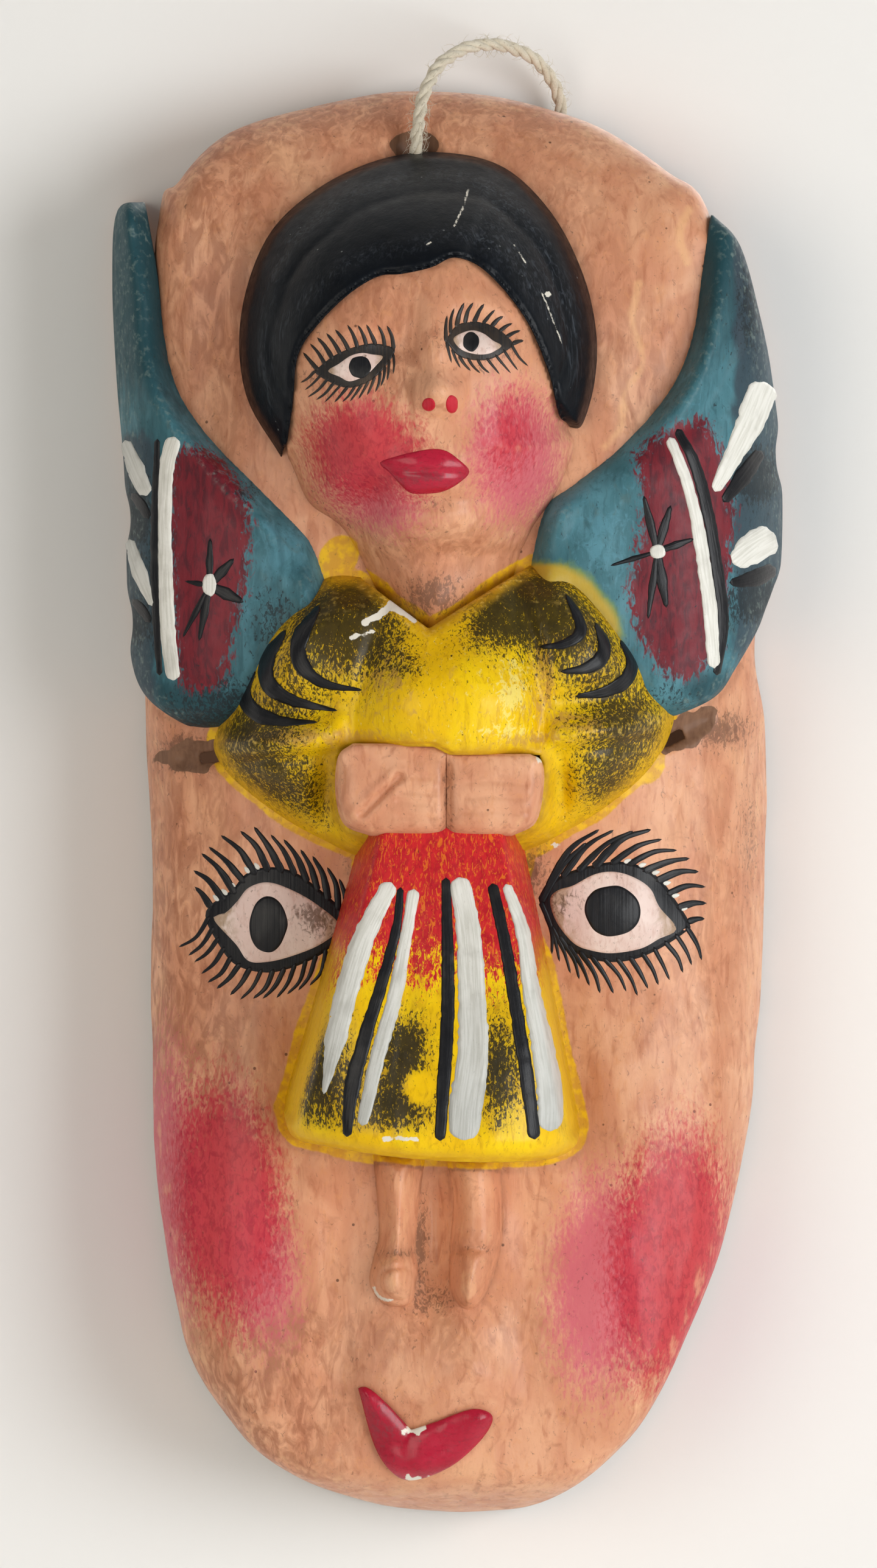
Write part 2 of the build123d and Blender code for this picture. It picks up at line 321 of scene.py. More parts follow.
LEFT_LEG = fitted([
    [(-20.2, -98), (-18.8, -112), (-18.4, -122), (-20.0, -129), (-20.8, -136), (-16.5, -141.6),
     (-9.6, -141.2), (-7.4, -134), (-7.8, -124), (-6.6, -110), (-5, -98)],
    [(-5, -98), (-20.2, -98)],
], "left_leg", above=4.0)

RIGHT_LEG = fitted([
    [(-2, -98), (1.6, -112), (1.0, -128), (1.4, -138), (5.5, -143.4), (10.5, -141.4), (14.6, -132),
     (16.6, -120), (16, -98)],
    [(16, -98), (-2, -98)],
], "right_leg", above=4.0)

LIPS = fitted([
    [(-24.6, -165.6), (-21.5, -165.8), (-16, -170.6), (-9.6, -177.6)],
    [(-9.6, -177.6), (-2.5, -175.2), (7, -171.8), (12.2, -172.6), (13.2, -175.4), (9.6, -181),
     (1.5, -188), (-8.5, -191.8), (-14.6, -190), (-20, -182), (-24.6, -165.6)],
], "lips")

LOOPS = {
    "face_shell": loop_of(SHELL), "left_wing": loop_of(LEFT_WING), "right_wing": loop_of(RIGHT_WING),
    "figure_hair": loop_of(HAIR), "figure_head": loop_of(HEAD), "blouse": loop_of(BLOUSE),
    "left_sleeve": loop_of(LEFT_SLEEVE), "right_sleeve": loop_of(RIGHT_SLEEVE),
    "left_hand": loop_of(LEFT_HAND), "right_hand": loop_of(RIGHT_HAND), "skirt": loop_of(SKIRT),
    "left_leg": loop_of(LEFT_LEG), "right_leg": loop_of(RIGHT_LEG), "lips": loop_of(LIPS),
}

WALL = 11.0
BORE_START, BORE_END = np.array([-8.2, -36, 174.0]), np.array([-8.2, -47.5, 186.0])


# ------------------------------------------------------------------ the carved surfaces

block_side = curve([(-203, 28), (-197, 50), (-180, 62), (-150, 67), (-110, 66), (-50, 64), (20, 66),
                    (90, 67), (140, 61), (178, 48), (196, 34), (203, 27)])
block_plan = curve([(-95, 24), (-84, 43), (-62, 59), (-32, 67), (0, 70), (32, 67), (62, 59),
                    (84, 43), (95, 24)])


def block_core(x, z):
    """The plain rounded block, before any feature is cut."""
    return soft_min(block_side(z), block_plan(x), 8.0)


def face_surface(x, z):
    """The large face: block, brow, eye mounds, cheeks, nose valleys, mouth mound and chin."""
    height = block_core(x, z)
    height = height + 2.6 * bump(x, z, (-58, -118), (26, 40)) + 2.6 * bump(x, z, (60, -124), (26, 42))
    height = height - 3.0 * bump(x, z, (-46, -40), (30, 30)) - 3.0 * bump(x, z, (48, -38), (30, 30))
    height = height + 4.0 * bump(x, z, (-48, -35), (20, 14), -4) + 4.0 * bump(x, z, (48, -32), (21, 14), -6)
    height = height + 1.4 * bump(x, z, (-46, -14), (24, 7), 14) + 1.4 * bump(x, z, (46, -10), (24, 7), -12)
    height = height - 4.0 * bump(x, z, (-40, -84), (9, 30), -12) - 3.5 * bump(x, z, (37, -84), (8, 30), 10)
    height = height + 6.5 * bump(x, z, (-4, -159), (30, 17), 4, 2.6) + 2.0 * bump(x, z, (8, -162), (9, 7))
    height = height - 2.6 * bump(x, z, (-31, -160), (7, 12), -20) - 2.4 * bump(x, z, (22, -160), (8, 12), 22)
    height = height - 5.2 * bump(x, z, (-3, -122), (4.8, 24), 0) - 2.2 * bump(x, z, (-28, -124), (7, 26))
    height = height - 1.8 * bump(x, z, (24, -124), (6, 22)) + 3.5 * bump(x, z, (-6, -187), (26, 9))
    height = height - 2.2 * bump(x, z, (-4, 176), (30, 8)) - 3.0 * bump(x, z, (58, 126), (14, 44), 8)
    height = height - 2.4 * bump(x, z, (-66, 122), (12, 44), -8)
    height = height + 0.55 * rough(x, z, 17, 3, 1.5) + 0.3 * rough(x, z, 7, 4, 1.6)
    return height + 0.10 * rough(x, z, 2.6, 5, 2.2)


def shell_front(x, z):
    edge = loop_distance(LOOPS["face_shell"], x, z) + 0.5 * rough(x, z, 14, 8)
    edge = edge - 1.3 * step(60, 84, x) * step(-150, -90, z) - 1.2 * bump(x, z, (56, -172), (16, 16))
    edge = edge + 2.6 * step(24, -4, x) * step(-150, -185, z) + 3.0 * bump(x, z, (91, 41), (12, 13))
    corner = 10.0 + 3.0 * rough(x, z, 30, 9) - 7.0 * step(14, 26, z) * step(168, 156, z)
    return face_surface(x, z) - rounded(edge, corner), edge


def hollow_front(x, z):
    edge = loop_distance(LOOPS["face_shell"], x, z) + WALL + 1.2 * rough(x, z, 16, 12)
    height = block_core(x, z) - WALL + gouge(x, z, 11, 1.6, 7) + 0.15 * rough(x, z, 1.6, 13, 5)
    return height - rounded(edge, 16.0), edge


wing_side = curve([(12, 46), (28, 66), (55, 74), (95, 75), (130, 67), (160, 56), (175, 50)])
wing_plan = curve([(-96, 33), (-89, 50), (-72, 65), (-50, 72), (0, 80), (50, 72), (72, 65), (88, 50),
                   (96, 33)])


def raised(height, x, z, inward, width):
    """A form that starts from the face at its outline and reaches its own height width inside it."""
    ground = face_surface(x, z) - 0.4
    return ground + (height - ground) * swell(inward, width)


def wing_surface(name, outline, valley, notches, x, z):
    """A wing panel with a rolled inner edge, a valley beside the roll and cuts in its outer edge."""
    roll = line_distance(catmull(outline[2], 6), x, z)
    outer = line_distance(catmull(outline[0], 6), x, z)
    height = soft_min(wing_side(z), wing_plan(x), 8.0)
    low = line_distance(catmull(valley, 6), x, z)
    height = height + 1.6 * np.exp(-((roll - 6) / 4.2) ** 2) - 3.0 * np.exp(-(low / 4.4) ** 2)
    height = height + 0.5 * rough(x, z, 15, 21, 1.6) + 0.1 * rough(x, z, 2.6, 22, 2)
    height = raised(height, x, z, roll, 8.0)
    edge = loop_distance(LOOPS[name], x, z)
    for place in notches:
        cut = bump(x, z, place, (7.5, 6.5), 0, 3)
        height, edge = height - 2.2 * cut, edge + 1.5 * cut
    return height - rounded(-outer, 6.0), edge


def left_wing_front(x, z):
    valley = [(-86, 158), (-85, 140), (-80, 122), (-69, 108), (-57, 97), (-48, 84), (-42, 68)]
    return wing_surface("left_wing", LEFT_WING, valley, [(-92, 80), (-91, 51)], x, z)


def right_wing_front(x, z):
    valley = [(81, 156), (81, 140), (78.5, 126), (73, 113), (66, 106), (56, 99), (46, 91), (37.4, 81),
              (31, 70)]
    return wing_surface("right_wing", RIGHT_WING, valley, [(94, 97), (94, 57)], x - 1.2 * step(60, 84, x), z)


FIGURE = loop_of([HAIR[0], [HAIR[0][-1]] + HEAD[2][3::-1], HEAD[1][::-1], HEAD[0][:0:-1] + [HAIR[0][0]]])


def skull(x, z):
    """The rounded mass under the face and hair, and the neck."""
    half_height = np.where(z > 116, 69.0, 49.0)
    u, v = (x + 5.5) / 53.0, (z - 116) / half_height
    egg = 62 + 36 * np.sqrt(np.clip(1 - np.abs(u) ** 2.3 - np.abs(v) ** 2.5, 0, 1))
    neck = 80 - 0.09 * np.abs(x + 3) ** 1.6 + 0.14 * (z - 50)
    inward = np.clip(-loop_distance(FIGURE, x, z) / 36.0, 0, 1)
    slope = face_surface(x, z) - 0.4 + 34.0 * (1 - (1 - inward) ** 1.9)
    return soft_min(soft_max(egg, neck, 8.0), slope, 5.0) + 1.2 * step(0, 0.06, inward)


def head_surface(x, z):
    """The small face on the skull: brow, eye hollows, nose, cheeks, mouth and chin."""
    height = skull(x, z) - 1.0
    height = height + 6.6 * bump(x, z, (-1.8, 115.0), (6.6, 5.6), 0, 2.4)
    height = height + 4.4 * bump(x, z, (-2.8, 127), (5.6, 13), 4, 2.2)
    height = height - 2.6 * bump(x, z, (-17, 127), (8, 5), 12) - 2.6 * bump(x, z, (9, 134), (7, 5), -4)
    height = height + 1.6 * bump(x, z, (-25.3, 122.3), (9, 5), 16)
    height = height + 1.6 * bump(x, z, (9.3, 130.5), (8, 4.6), -8)
    height = height + 1.2 * bump(x, z, (-24, 134), (12, 4), 16) + 1.2 * bump(x, z, (12, 140), (11, 4), -10)
    height = height + 2.8 * bump(x, z, (-27, 103), (12, 11)) + 2.4 * bump(x, z, (19, 108), (11, 11))
    height = height + 3.0 * bump(x, z, (-6.3, 93.4), (13, 6.2), -3, 2.6)
    height = height - 1.0 * bump(x, z, (-6, 93.2), (12, 1.0), -3)
    height = height - 1.4 * bump(x, z, (-5, 84.4), (12, 2.4), 3) + 3.8 * bump(x, z, (-2, 77.5), (15, 6.5))
    height = height - 1.6 * bump(x, z, (-20, 86), (4, 8), -28) - 1.4 * bump(x, z, (9, 87), (4, 8), 28)
    return height + 0.3 * rough(x, z, 8, 31) + 0.07 * rough(x, z, 2.2, 32, 1.6)


def head_front(x, z):
    return head_surface(x, z), loop_distance(LOOPS["figure_head"], x, z)


def hair_front(x, z):
    """A thick cap of hair with a long ridge along its edge and a parting above the right eye."""
    edge = loop_distance(LOOPS["figure_hair"], x, z)
    outer = line_distance(catmull(HAIR[0], 6), x, z)
    inner = line_distance(catmull(HAIR[1], 6), x, z)
    around = np.arctan2(z - 118, x + 6)
    strand = outer + 2.0 * rough(x, z, 16, 41) + 1.2 * np.sin(2 * around)
    height = skull(x, z) + 2.4 + 1.8 * np.exp(-(outer / 7.0) ** 2)
    height = height + 0.4 * np.exp(-((strand - 6.5) / 2.0) ** 2)
    height = height - 0.5 * np.exp(-((strand - 10.5) / 1.3) ** 2)
    parting = line_distance([(16, 177), (12, 167), (9, 158), (7, 153)], x, z)
    height = height - 1.1 * np.exp(-(parting / 2.2) ** 2)
    height = height + 0.35 * rough(x, z, 9, 42) + 0.08 * rough(x, z, 2.4, 43)
    return height - rounded(-inner, 1.8) - rounded(-outer, 3.0), edge - 0.8 * step(1.5, 4.0, outer)


sleeve_side = curve([(-20, 77), (-8, 83), (8, 87), (24, 90), (40, 89.5), (56, 83), (72, 73)])
sleeve_plan = curve([(-70, 61), (-60, 73), (-42, 85), (-24, 90), (-2, 92), (22, 90), (42, 85), (59, 73),
                     (69, 61)])
LEFT_ELBOW, LEFT_WRIST = (-63, 15), (-31, 18.5)
RIGHT_ELBOW, RIGHT_WRIST = (63, 23), (29, 18)
HANDS = loop_of([[(-26, 16.4), (-3, 16.2)], [(-3, 16.2), (2.4, 13.4)], [(2.4, 13.4), (24, 13.4)],
                 [(24, 13.4), (27.3, 11.4), (28, 5), (25.8, -5.8), (19, -9.8)],
                 [(19, -9.8), (-21, -9.8)],
                 [(-21, -9.8), (-28.4, -6.6), (-30.9, 2), (-30.2, 12.6), (-26, 16.4)]])
CUFF_CORNERS = [(-27, -7), (23.5, -7)]
COLLAR = [LEFT_SLEEVE[0][0], (-4.4, 48.9), RIGHT_SLEEVE[0][0]]
GARMENT = loop_of([
    [COLLAR[0], COLLAR[1]], [COLLAR[1], COLLAR[2]],
    RIGHT_SLEEVE[0], [(20.9, -15), (16, -15)], [(16, -15), (16, 0)], [(16, 0), (-18, 0)],
    [(-18, 0), (-18, -16)], [(-18, -16), (-22.7, -16.5)],
    LEFT_SLEEVE[0][::-1],
])


def forearm(elbow, wrist, cuff, x, z):
    """How a forearm changes the sleeve: a ridge on top, a fall below it and a sunk inner cuff."""
    slope = (wrist[1] - elbow[1]) / (wrist[0] - elbow[0])
    below = elbow[1] + slope * (x - elbow[0]) - z
    outward = step(24, 34, np.abs(x))
    ridge = line_distance([elbow, wrist], x, z)
    change = 3.0 * np.exp(-(ridge / 3.6) ** 2) - 8.0 * step(0, 22, below) - 6.0 * bump(x, z, cuff, (4.6, 12))
    change = change - 3.6 * np.exp(-((below + 9) / 5.0) ** 2) - 1.6 * np.exp(-((below - 5) / 2.0) ** 2)
    return outward * change


def garment_surface(x, z):
    """Bust, shoulders and bent arms as one soft form, open where the hands are."""
    side = np.where(x < 0, 1, -1)
    arms = soft_min(sleeve_side(z), sleeve_plan(x), 8.0)
    arms = arms + np.where(side > 0, forearm(LEFT_ELBOW, LEFT_WRIST, (-32.5, 1), x, z),
                           forearm(RIGHT_ELBOW, RIGHT_WRIST, (31.5, 2), x, z))
    bust = 68 + 31.0 * bump(x, z, (1, 26), (31, 30), 0, 3.0) - 2.2 * bump(x, z, (-3, 44), (6, 9))
    bust = bust + 1.0 * bump(x, z, (14, 27), (11, 9)) + 1.0 * bump(x, z, (-14, 28), (11, 9))
    height = soft_max(arms, bust, 5.0)
    fold = line_distance([(-17, 56), (-21, 42), (-25, 27), (-27, 18)], x, z)
    other = line_distance([(20, 60), (25, 44), (27, 28), (27, 18)], x, z)
    height = height - 1.8 * np.exp(-(fold / 3.2) ** 2) - 2.8 * np.exp(-(other / 3.2) ** 2)
    height = height + 0.4 * rough(x, z, 11, 51) + 0.08 * rough(x, z, 2.4, 52)
    outer = np.minimum(line_distance(catmull(LEFT_SLEEVE[0], 6), x, z),
                       line_distance(catmull(RIGHT_SLEEVE[0], 6), x, z))
    height = raised(height, x, z, outer, 12.0) - rounded(-line_distance(COLLAR, x, z), 3.2)
    return height - rounded(-loop_distance(HANDS, x, z), 1.5)


def garment_part(name, lap, x, z):
    """One node's share of the garment, lapping a little over its neighbour's and round the hands."""
    share = loop_distance(LOOPS[name], x, z) - lap
    if name == "blouse":
        share = np.minimum(share, np.maximum(np.abs(x + 1.5) - 29.4, np.abs(z - 15) - 3.5))
    else:
        for corner in CUFF_CORNERS:
            share = np.where(x * corner[0] > 0, np.minimum(share, oval(x, z, corner, (8, 8))), share)
    share = np.maximum(share, loop_distance(GARMENT, x, z))
    return garment_surface(x, z) - lap / 8, np.maximum(share, -loop_distance(HANDS, x, z) - 0.8)


def left_sleeve_front(x, z):
    return garment_part("left_sleeve", 1.2, x, z)


def right_sleeve_front(x, z):
    return garment_part("right_sleeve", 1.2, x, z)


def blouse_front(x, z):
    return garment_part("blouse", 0.0, x, z)


def hand_surface(x, z):
    """Both hands as one soft block, with the groove between them."""
    height = peak("left_hand") - 3.4 + 2.4 * bump(x, z, (-1, 3), (30, 13), 0, 3) + 0.8 * step(6, 15, z)
    groove = 1.5 * np.exp(-(np.abs(x - 0.5) / 1.3) ** 2) + 0.9 * np.exp(-(np.abs(x - 0.5) / 4) ** 2)
    height = height - groove * step(14, 9, z)
    height = height + 0.25 * rough(x, z, 6, 72) + 0.08 * rough(x, z, 2, 73)
    return height - rounded(loop_distance(HANDS, x, z) + 0.3, 4.8 - 3.4 * step(8, 14, z))


def left_hand_front(x, z):
    """The hand whose thumb lies in a slanting crease above four shallow fingers."""
    height = hand_surface(x, z)
    thumb = line_distance([(-23.5, -3.4), (-18, 2.0), (-12.8, 6.8)], x, z)
    height = height - 1.0 * np.exp(-(thumb / 1.2) ** 2) + 0.5 * np.exp(-((thumb - 2.2) / 1.4) ** 2)
    for row in (-4.6, -0.4, 2.6, 7.0):
        finger = line_distance([(-13, row + 0.5), (-8, row), (-3.5, row - 0.3)], x, z)
        height = height - 0.5 * np.exp(-(finger / 0.9) ** 2)
    return height, np.maximum(loop_distance(LOOPS["left_hand"], x, z), loop_distance(HANDS, x, z))


def right_hand_front(x, z):
    height = hand_surface(x, z)
    for row in (-3.0, 1.2, 5.4):
        finger = line_distance([(6, row), (14, row + 0.4), (23, row - 0.4)], x, z)
        height = height - 0.45 * np.exp(-(finger / 0.9) ** 2)
    return height, np.maximum(loop_distance(LOOPS["right_hand"], x, z), loop_distance(HANDS, x, z))


skirt_side = curve([(-104, 109), (-96, 110.5), (-80, 107), (-45, 99), (-22, 93.5), (-10, 90), (-4, 88)])
skirt_plan = curve([(-54, 76), (-42, 94), (-24, 107), (-4, 111), (18, 107), (36, 94), (46, 76)])


def skirt_front(x, z):
    """A flared skirt with sides that slope to the face and a thick rounded hem."""
    sides = np.minimum(line_distance(catmull(SKIRT[3], 6), x, z), line_distance(catmull(SKIRT[1], 6), x, z))
    hem = line_distance(catmull(SKIRT[2], 6), x, z) + 0.5 * rough(x, z, 12, 83)
    height = soft_min(skirt_side(z), skirt_plan(x), 7.0) + 0.5 * rough(x, z, 12, 81, 1.6)
    height = height - 0.8 * bump(x, z, (-12, -70), (2.4, 40), -7) - 0.7 * bump(x, z, (7, -60), (2.2, 40), 4)
    height = raised(height + 0.08 * rough(x, z, 2.4, 82), x, z, sides, 7.0)
    return height - rounded(-hem, 6.6), loop_distance(LOOPS["skirt"], x, z)


def leg_surface(name, ankle, foot, x, z):
    edge = loop_distance(LOOPS[name], x, z)
    height = face_surface(x, z) + 8.2 + 1.8 * bump(x, z, foot, (7, 8)) - 1.0 * bump(x, z, ankle, (9, 2.0))
    return raised(height, x, z, -edge, 7.5) + 0.2 * rough(x, z, 7, 91), edge


def left_leg_front(x, z):
    height, edge = leg_surface("left_leg", (-13, -128), (-13.5, -134), x, z)
    toe = loop_distance(catmull([(-18, -133.5), (-12, -131.6), (-8.4, -134), (-9.4, -139.5), (-13.6, -141),
                                 (-17.4, -138.6)], 4, closed=True), x, z)
    return height - 0.9 * np.exp(-(toe / 0.7) ** 2), edge


def right_leg_front(x, z):
    height, edge = leg_surface("right_leg", (7, -126.5), (7, -134), x, z)
    edge = edge - 2.6 * bump(x, z, (18, -108), (7, 15)) + 1.6 * bump(x, z, (-1, -108), (4, 12))
    crease = line_distance([(1, -127.5), (7, -126), (13, -127)], x, z)
    return height - 0.6 * np.exp(-crease ** 2), edge


def lips_front(x, z):
    edge = loop_distance(LOOPS["lips"], x, z)
    return raised(face_surface(x, z) + 4.6, x, z, 1.6 - edge, 7.5) + 0.15 * rough(x, z, 5, 95), edge


FRONTS = {
    "face_shell": shell_front, "left_wing": left_wing_front, "right_wing": right_wing_front,
    "figure_hair": hair_front, "figure_head": head_front, "blouse": blouse_front,
    "left_sleeve": left_sleeve_front, "right_sleeve": right_sleeve_front,
    "left_hand": left_hand_front, "right_hand": right_hand_front, "skirt": skirt_front,
    "left_leg": left_leg_front, "right_leg": right_leg_front, "lips": lips_front,
}


# ------------------------------------------------------------------ filling and meshing a piece

def slope_of(height, pitch):
    """Length of a height map's normal, which turns a height difference into a distance."""
    return np.sqrt(1 + sum(g * g for g in np.gradient(height, pitch)))


def grid_of(node, pitch, margin):
    low, high = node_box(node)
    xs = np.arange(low[0] - margin, high[0] + margin + pitch, pitch)
    zs = np.arange(low[2] - margin, high[2] + margin + pitch, pitch)
    return xs, zs, np.meshgrid(xs, zs, indexing="ij")


def mesh_from(name, field, corner, pitch):
    """A smooth-shaded object on the zero surface of a distance field, negative inside."""
    grid = openvdb.FloatGrid(4 * pitch)
    grid.copyFromArray(np.clip(field, -4 * pitch, 4 * pitch).astype(np.float32))
    points, quads = grid.convertToQuads(isovalue=0.0)
    vertices = (points.astype(float) * pitch + corner) * MM
    mesh = bpy.data.meshes.new(name)
    mesh.vertices.add(len(vertices))
    mesh.vertices.foreach_set("co", vertices.ravel())
    mesh.loops.add(quads.size)
    mesh.loops.foreach_set("vertex_index", quads.astype(np.int32).ravel())
    mesh.polygons.add(len(quads))
    mesh.polygons.foreach_set("loop_start", np.arange(0, quads.size, 4, dtype=np.int32))
    mesh.update(calc_edges=True)
    mesh.validate()
    mesh.polygons.foreach_set("use_smooth", np.ones(len(mesh.polygons), bool))
    piece = bpy.data.objects.new(name, mesh)
    bpy.context.collection.objects.link(piece)
    return piece


def back_of(node, x, z, sunk=3.5):
    """The height at which a feature's solid ends, inside the block, or at the rim outside it."""
    if "wing" not in node:
        return face_surface(x, z) - sunk
    front, edge = shell_front(x, z)
    return np.where(edge < -4.0, front - sunk, 0.4)


def carve_relief(node, pitch):
    """A raised feature as a closed solid that stands in the block."""
    xs, zs, (x, z) = grid_of(node, pitch, 3.0)
    front, edge = FRONTS[node](x, z)
    behind = back_of(node, x, z)
    ys = np.arange(-front[edge < 1].max() - 3, -behind[edge < 1].min() + 3, pitch)
    height = -ys[None, :, None]
    field = np.maximum((height - front[:, None, :]) / slope_of(front, pitch)[:, None, :],
                       (behind[:, None, :] - height) / slope_of(behind, pitch)[:, None, :])
    field = np.maximum(field, edge[:, None, :])
    return mesh_from("carved_" + node, field, np.array([xs[0], ys[0], zs[0]]), pitch)


def carve_shell(pitch):
    """The block with its hollow, cord hole, rim notch and sight slits."""
    xs, zs, (x, z) = grid_of("face_shell", pitch, 3.0)
    front, edge = shell_front(x, z)
    inner, inner_edge = hollow_front(x, z)
    ys = np.arange(-front.max() - 3, 3, pitch)
    height = -ys[None, :, None]
    x3, z3, y3 = x[:, None, :], z[:, None, :], ys[None, :, None]
    field = np.maximum((height - front[:, None, :]) / slope_of(front, pitch)[:, None, :], -height)
    field = np.maximum(field, edge[:, None, :])
    hollow = np.maximum((height - inner[:, None, :]) / slope_of(inner, pitch)[:, None, :],
                        inner_edge[:, None, :])
    field = np.maximum(field, -hollow)
    axis = (BORE_END - BORE_START) / np.linalg.norm(BORE_END - BORE_START)
    along = (x3 - BORE_START[0]) * axis[0] + (y3 - BORE_START[1]) * axis[1] + (z3 - BORE_START[2]) * axis[2]
    away = np.sqrt(np.maximum((x3 - BORE_START[0]) ** 2 + (y3 - BORE_START[1]) ** 2
                              + (z3 - BORE_START[2]) ** 2 - along ** 2, 0))
    torn = 0.8 * rough(x, z, 3.2, 14, 1.8)[:, None, :]
    funnel = away - 3.8 - 5.2 * step(3, 14, along) + torn
    field = np.maximum(field, -np.maximum(funnel, np.abs(along - 4) - 22))
    notch = np.maximum(np.abs(x3 - 32.4) - 3.4, height - 9.0)
    field = np.maximum(field, -np.maximum(notch, 176 - z3))
    for cx, cz, turn in ((-70.0, 12.8, 8), (67.5, 20.4, 28)):
        c, s = math.cos(math.radians(turn)), math.sin(math.radians(turn))
        u, v = (x3 - cx) * c + (z3 - cz) * s, -(x3 - cx) * s + (z3 - cz) * c
        slit = np.maximum(np.abs(u + 4.0 * math.copysign(1, cx)) - 3.2, np.abs(v + 0.8) - 1.5)
        dish = np.sqrt((u / 2.2) ** 2 + v ** 2 + ((height - front[:, None, :] - 2.2) / 0.9) ** 2) - 5.0
        field = np.maximum(field, -np.minimum(slit, dish + torn))
    return mesh_from("carved_face_shell", field, np.array([xs[0], ys[0], zs[0]]), pitch)


PITCH = {"face_shell": 0.9, "left_wing": 0.8, "right_wing": 0.8, "figure_hair": 0.6, "figure_head": 0.6,
         "blouse": 0.6, "left_sleeve": 0.6, "right_sleeve": 0.6, "left_hand": 0.5, "right_hand": 0.5,
         "skirt": 0.7, "left_leg": 0.5, "right_leg": 0.5, "lips": 0.45}

def carve(node):
    if node == "face_shell":
        piece = carve_shell(PITCH[node])
    else:
        piece = carve_relief(node, PITCH[node])
    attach(piece, "root")
    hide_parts(node)
    return piece


# ------------------------------------------------------------------ camera, light and stage

def make_camera():
    """A long lens straight in front, framed a little above the object's middle."""
    camera = bpy.data.objects.new("camera", bpy.data.cameras.new("camera"))
    camera.data.lens = 286.0
    camera.data.sensor_width = 36.0
    camera.data.clip_end = 50.0
    camera.location = VIEWPOINT
    camera.rotation_euler = (math.radians(90), 0, 0)
    bpy.context.collection.objects.link(camera)
    bpy.context.scene.camera = camera


def add_lamp(name, place, target, size, watts, colour):
    lamp = bpy.data.objects.new(name, bpy.data.lights.new(name, "AREA"))
    lamp.data.shape = "DISK"
    lamp.data.size = size
    lamp.data.energy = watts
    lamp.data.color = colour
    lamp.location = place
    lamp.rotation_euler = (Vector(target) - Vector(place)).to_track_quat("-Z", "Y").to_euler()
    bpy.context.collection.objects.link(lamp)


def make_lights():
    add_lamp("key", (1.6, -1.7, -0.1), (0, 0, 0), 1.5, 37.0, (0.98, 1.0, 1.01))
    add_lamp("fill", (-1.3, -2.3, 0.1), (0, 0, 0), 1.6, 17.5, (1.0, 0.93, 0.82))
    add_lamp("behind", (0.5, 1.3, 0.7), (0, 0, 0), 0.9, 14.0, (1.0, 0.98, 0.95))
    world = bpy.data.worlds.new("studio")
    world.use_nodes = True
    world.node_tree.nodes["Background"].inputs["Color"].default_value = (0.9, 0.9, 0.9, 1)
    world.node_tree.nodes["Background"].inputs["Strength"].default_value = 0.28
    bpy.context.scene.world = world
    bpy.context.scene.view_settings.view_transform = "Standard"


def make_plane(name, corners, material):
    mesh = bpy.data.meshes.new(name)
    mesh.from_pydata(corners, [], [(0, 1, 2, 3)])
    mesh.materials.append(material)
    plane = bpy.data.objects.new(name, mesh)
    bpy.context.collection.objects.link(plane)
    return plane


def make_stage():
    """A pale wall, seen only from the front, and a pale floor well below."""
    paint = bpy.data.materials.new("pale_wall")
    paint.use_nodes = True
    links, nodes = paint.node_tree.links, paint.node_tree.nodes
    surface = nodes["Principled BSDF"]
    surface.inputs["Base Color"].default_value = (0.87, 0.86, 0.84, 1)
    surface.inputs["Roughness"].default_value = 0.9
    side, clear, either = (nodes.new("ShaderNodeNewGeometry"), nodes.new("ShaderNodeBsdfTransparent"),
                           nodes.new("ShaderNodeMixShader"))
    links.new(side.outputs["Backfacing"], either.inputs[0])
    links.new(surface.outputs[0], either.inputs[1])
    links.new(clear.outputs[0], either.inputs[2])
    links.new(either.outputs[0], nodes["Material Output"].inputs[0])
    wall = make_plane("wall", [(-3, 0.0015, -0.6), (3, 0.0015, -0.6), (3, 0.0015, 2.5), (-3, 0.0015, 2.5)],
                      paint)
    wall.visible_shadow = False
    floor = bpy.data.materials.new("pale_floor")
    floor.use_nodes = True
    floor.node_tree.nodes["Principled BSDF"].inputs["Base Color"].default_value = (0.78, 0.77, 0.75, 1)
    floor.node_tree.nodes["Principled BSDF"].inputs["Roughness"].default_value = 0.9
    make_plane("floor", [(-3, -3, -0.6), (3, -3, -0.6), (3, 3, -0.6), (-3, 3, -0.6)], floor)


make_camera()
make_lights()
make_stage()


# ------------------------------------------------------------------ cord and knot

CORD_DIAMETER = 3.8
CORD_POINTS = [
    (-5.0, -26.2, 165.6), (-8.2, -36, 174), (-8.2, -47.5, 186), (-6.4, -44.5, 199), (-1.5, -36.5, 209),
    (8, -27, 214.6), (19, -18, 214.6), (28.5, -10.2, 209.4), (33.6, -5.0, 199), (32.8, -3.6, 187),
    (28.2, -9, 176.4), (18, -16.5, 168.4), (3.6, -20.8, 163.6),
]


def route_of(name, points):
    """Points, in millimetres, along the smooth line that a NURBS spline draws."""
    line = bpy.data.curves.new(name, "CURVE")
    line.dimensions = "3D"
    line.resolution_u = 16
    spline = line.splines.new("NURBS")
    spline.points.add(len(points) - 1)
    for place, point in zip(points, spline.points):
        point.co = (*(value * MM for value in place), 1)
    spline.order_u = 3
    spline.use_endpoint_u = True
    holder = bpy.data.objects.new(name, line)
    bpy.context.collection.objects.link(holder)
    traced = bpy.data.meshes.new_from_object(holder)
    places = np.array([vertex.co[:] for vertex in traced.vertices]) / MM
    bpy.data.meshes.remove(traced)
    bpy.data.objects.remove(holder)
    return places


def along_of(places):
    return np.concatenate([[0], np.cumsum(np.linalg.norm(np.diff(places, axis=0), axis=1))])


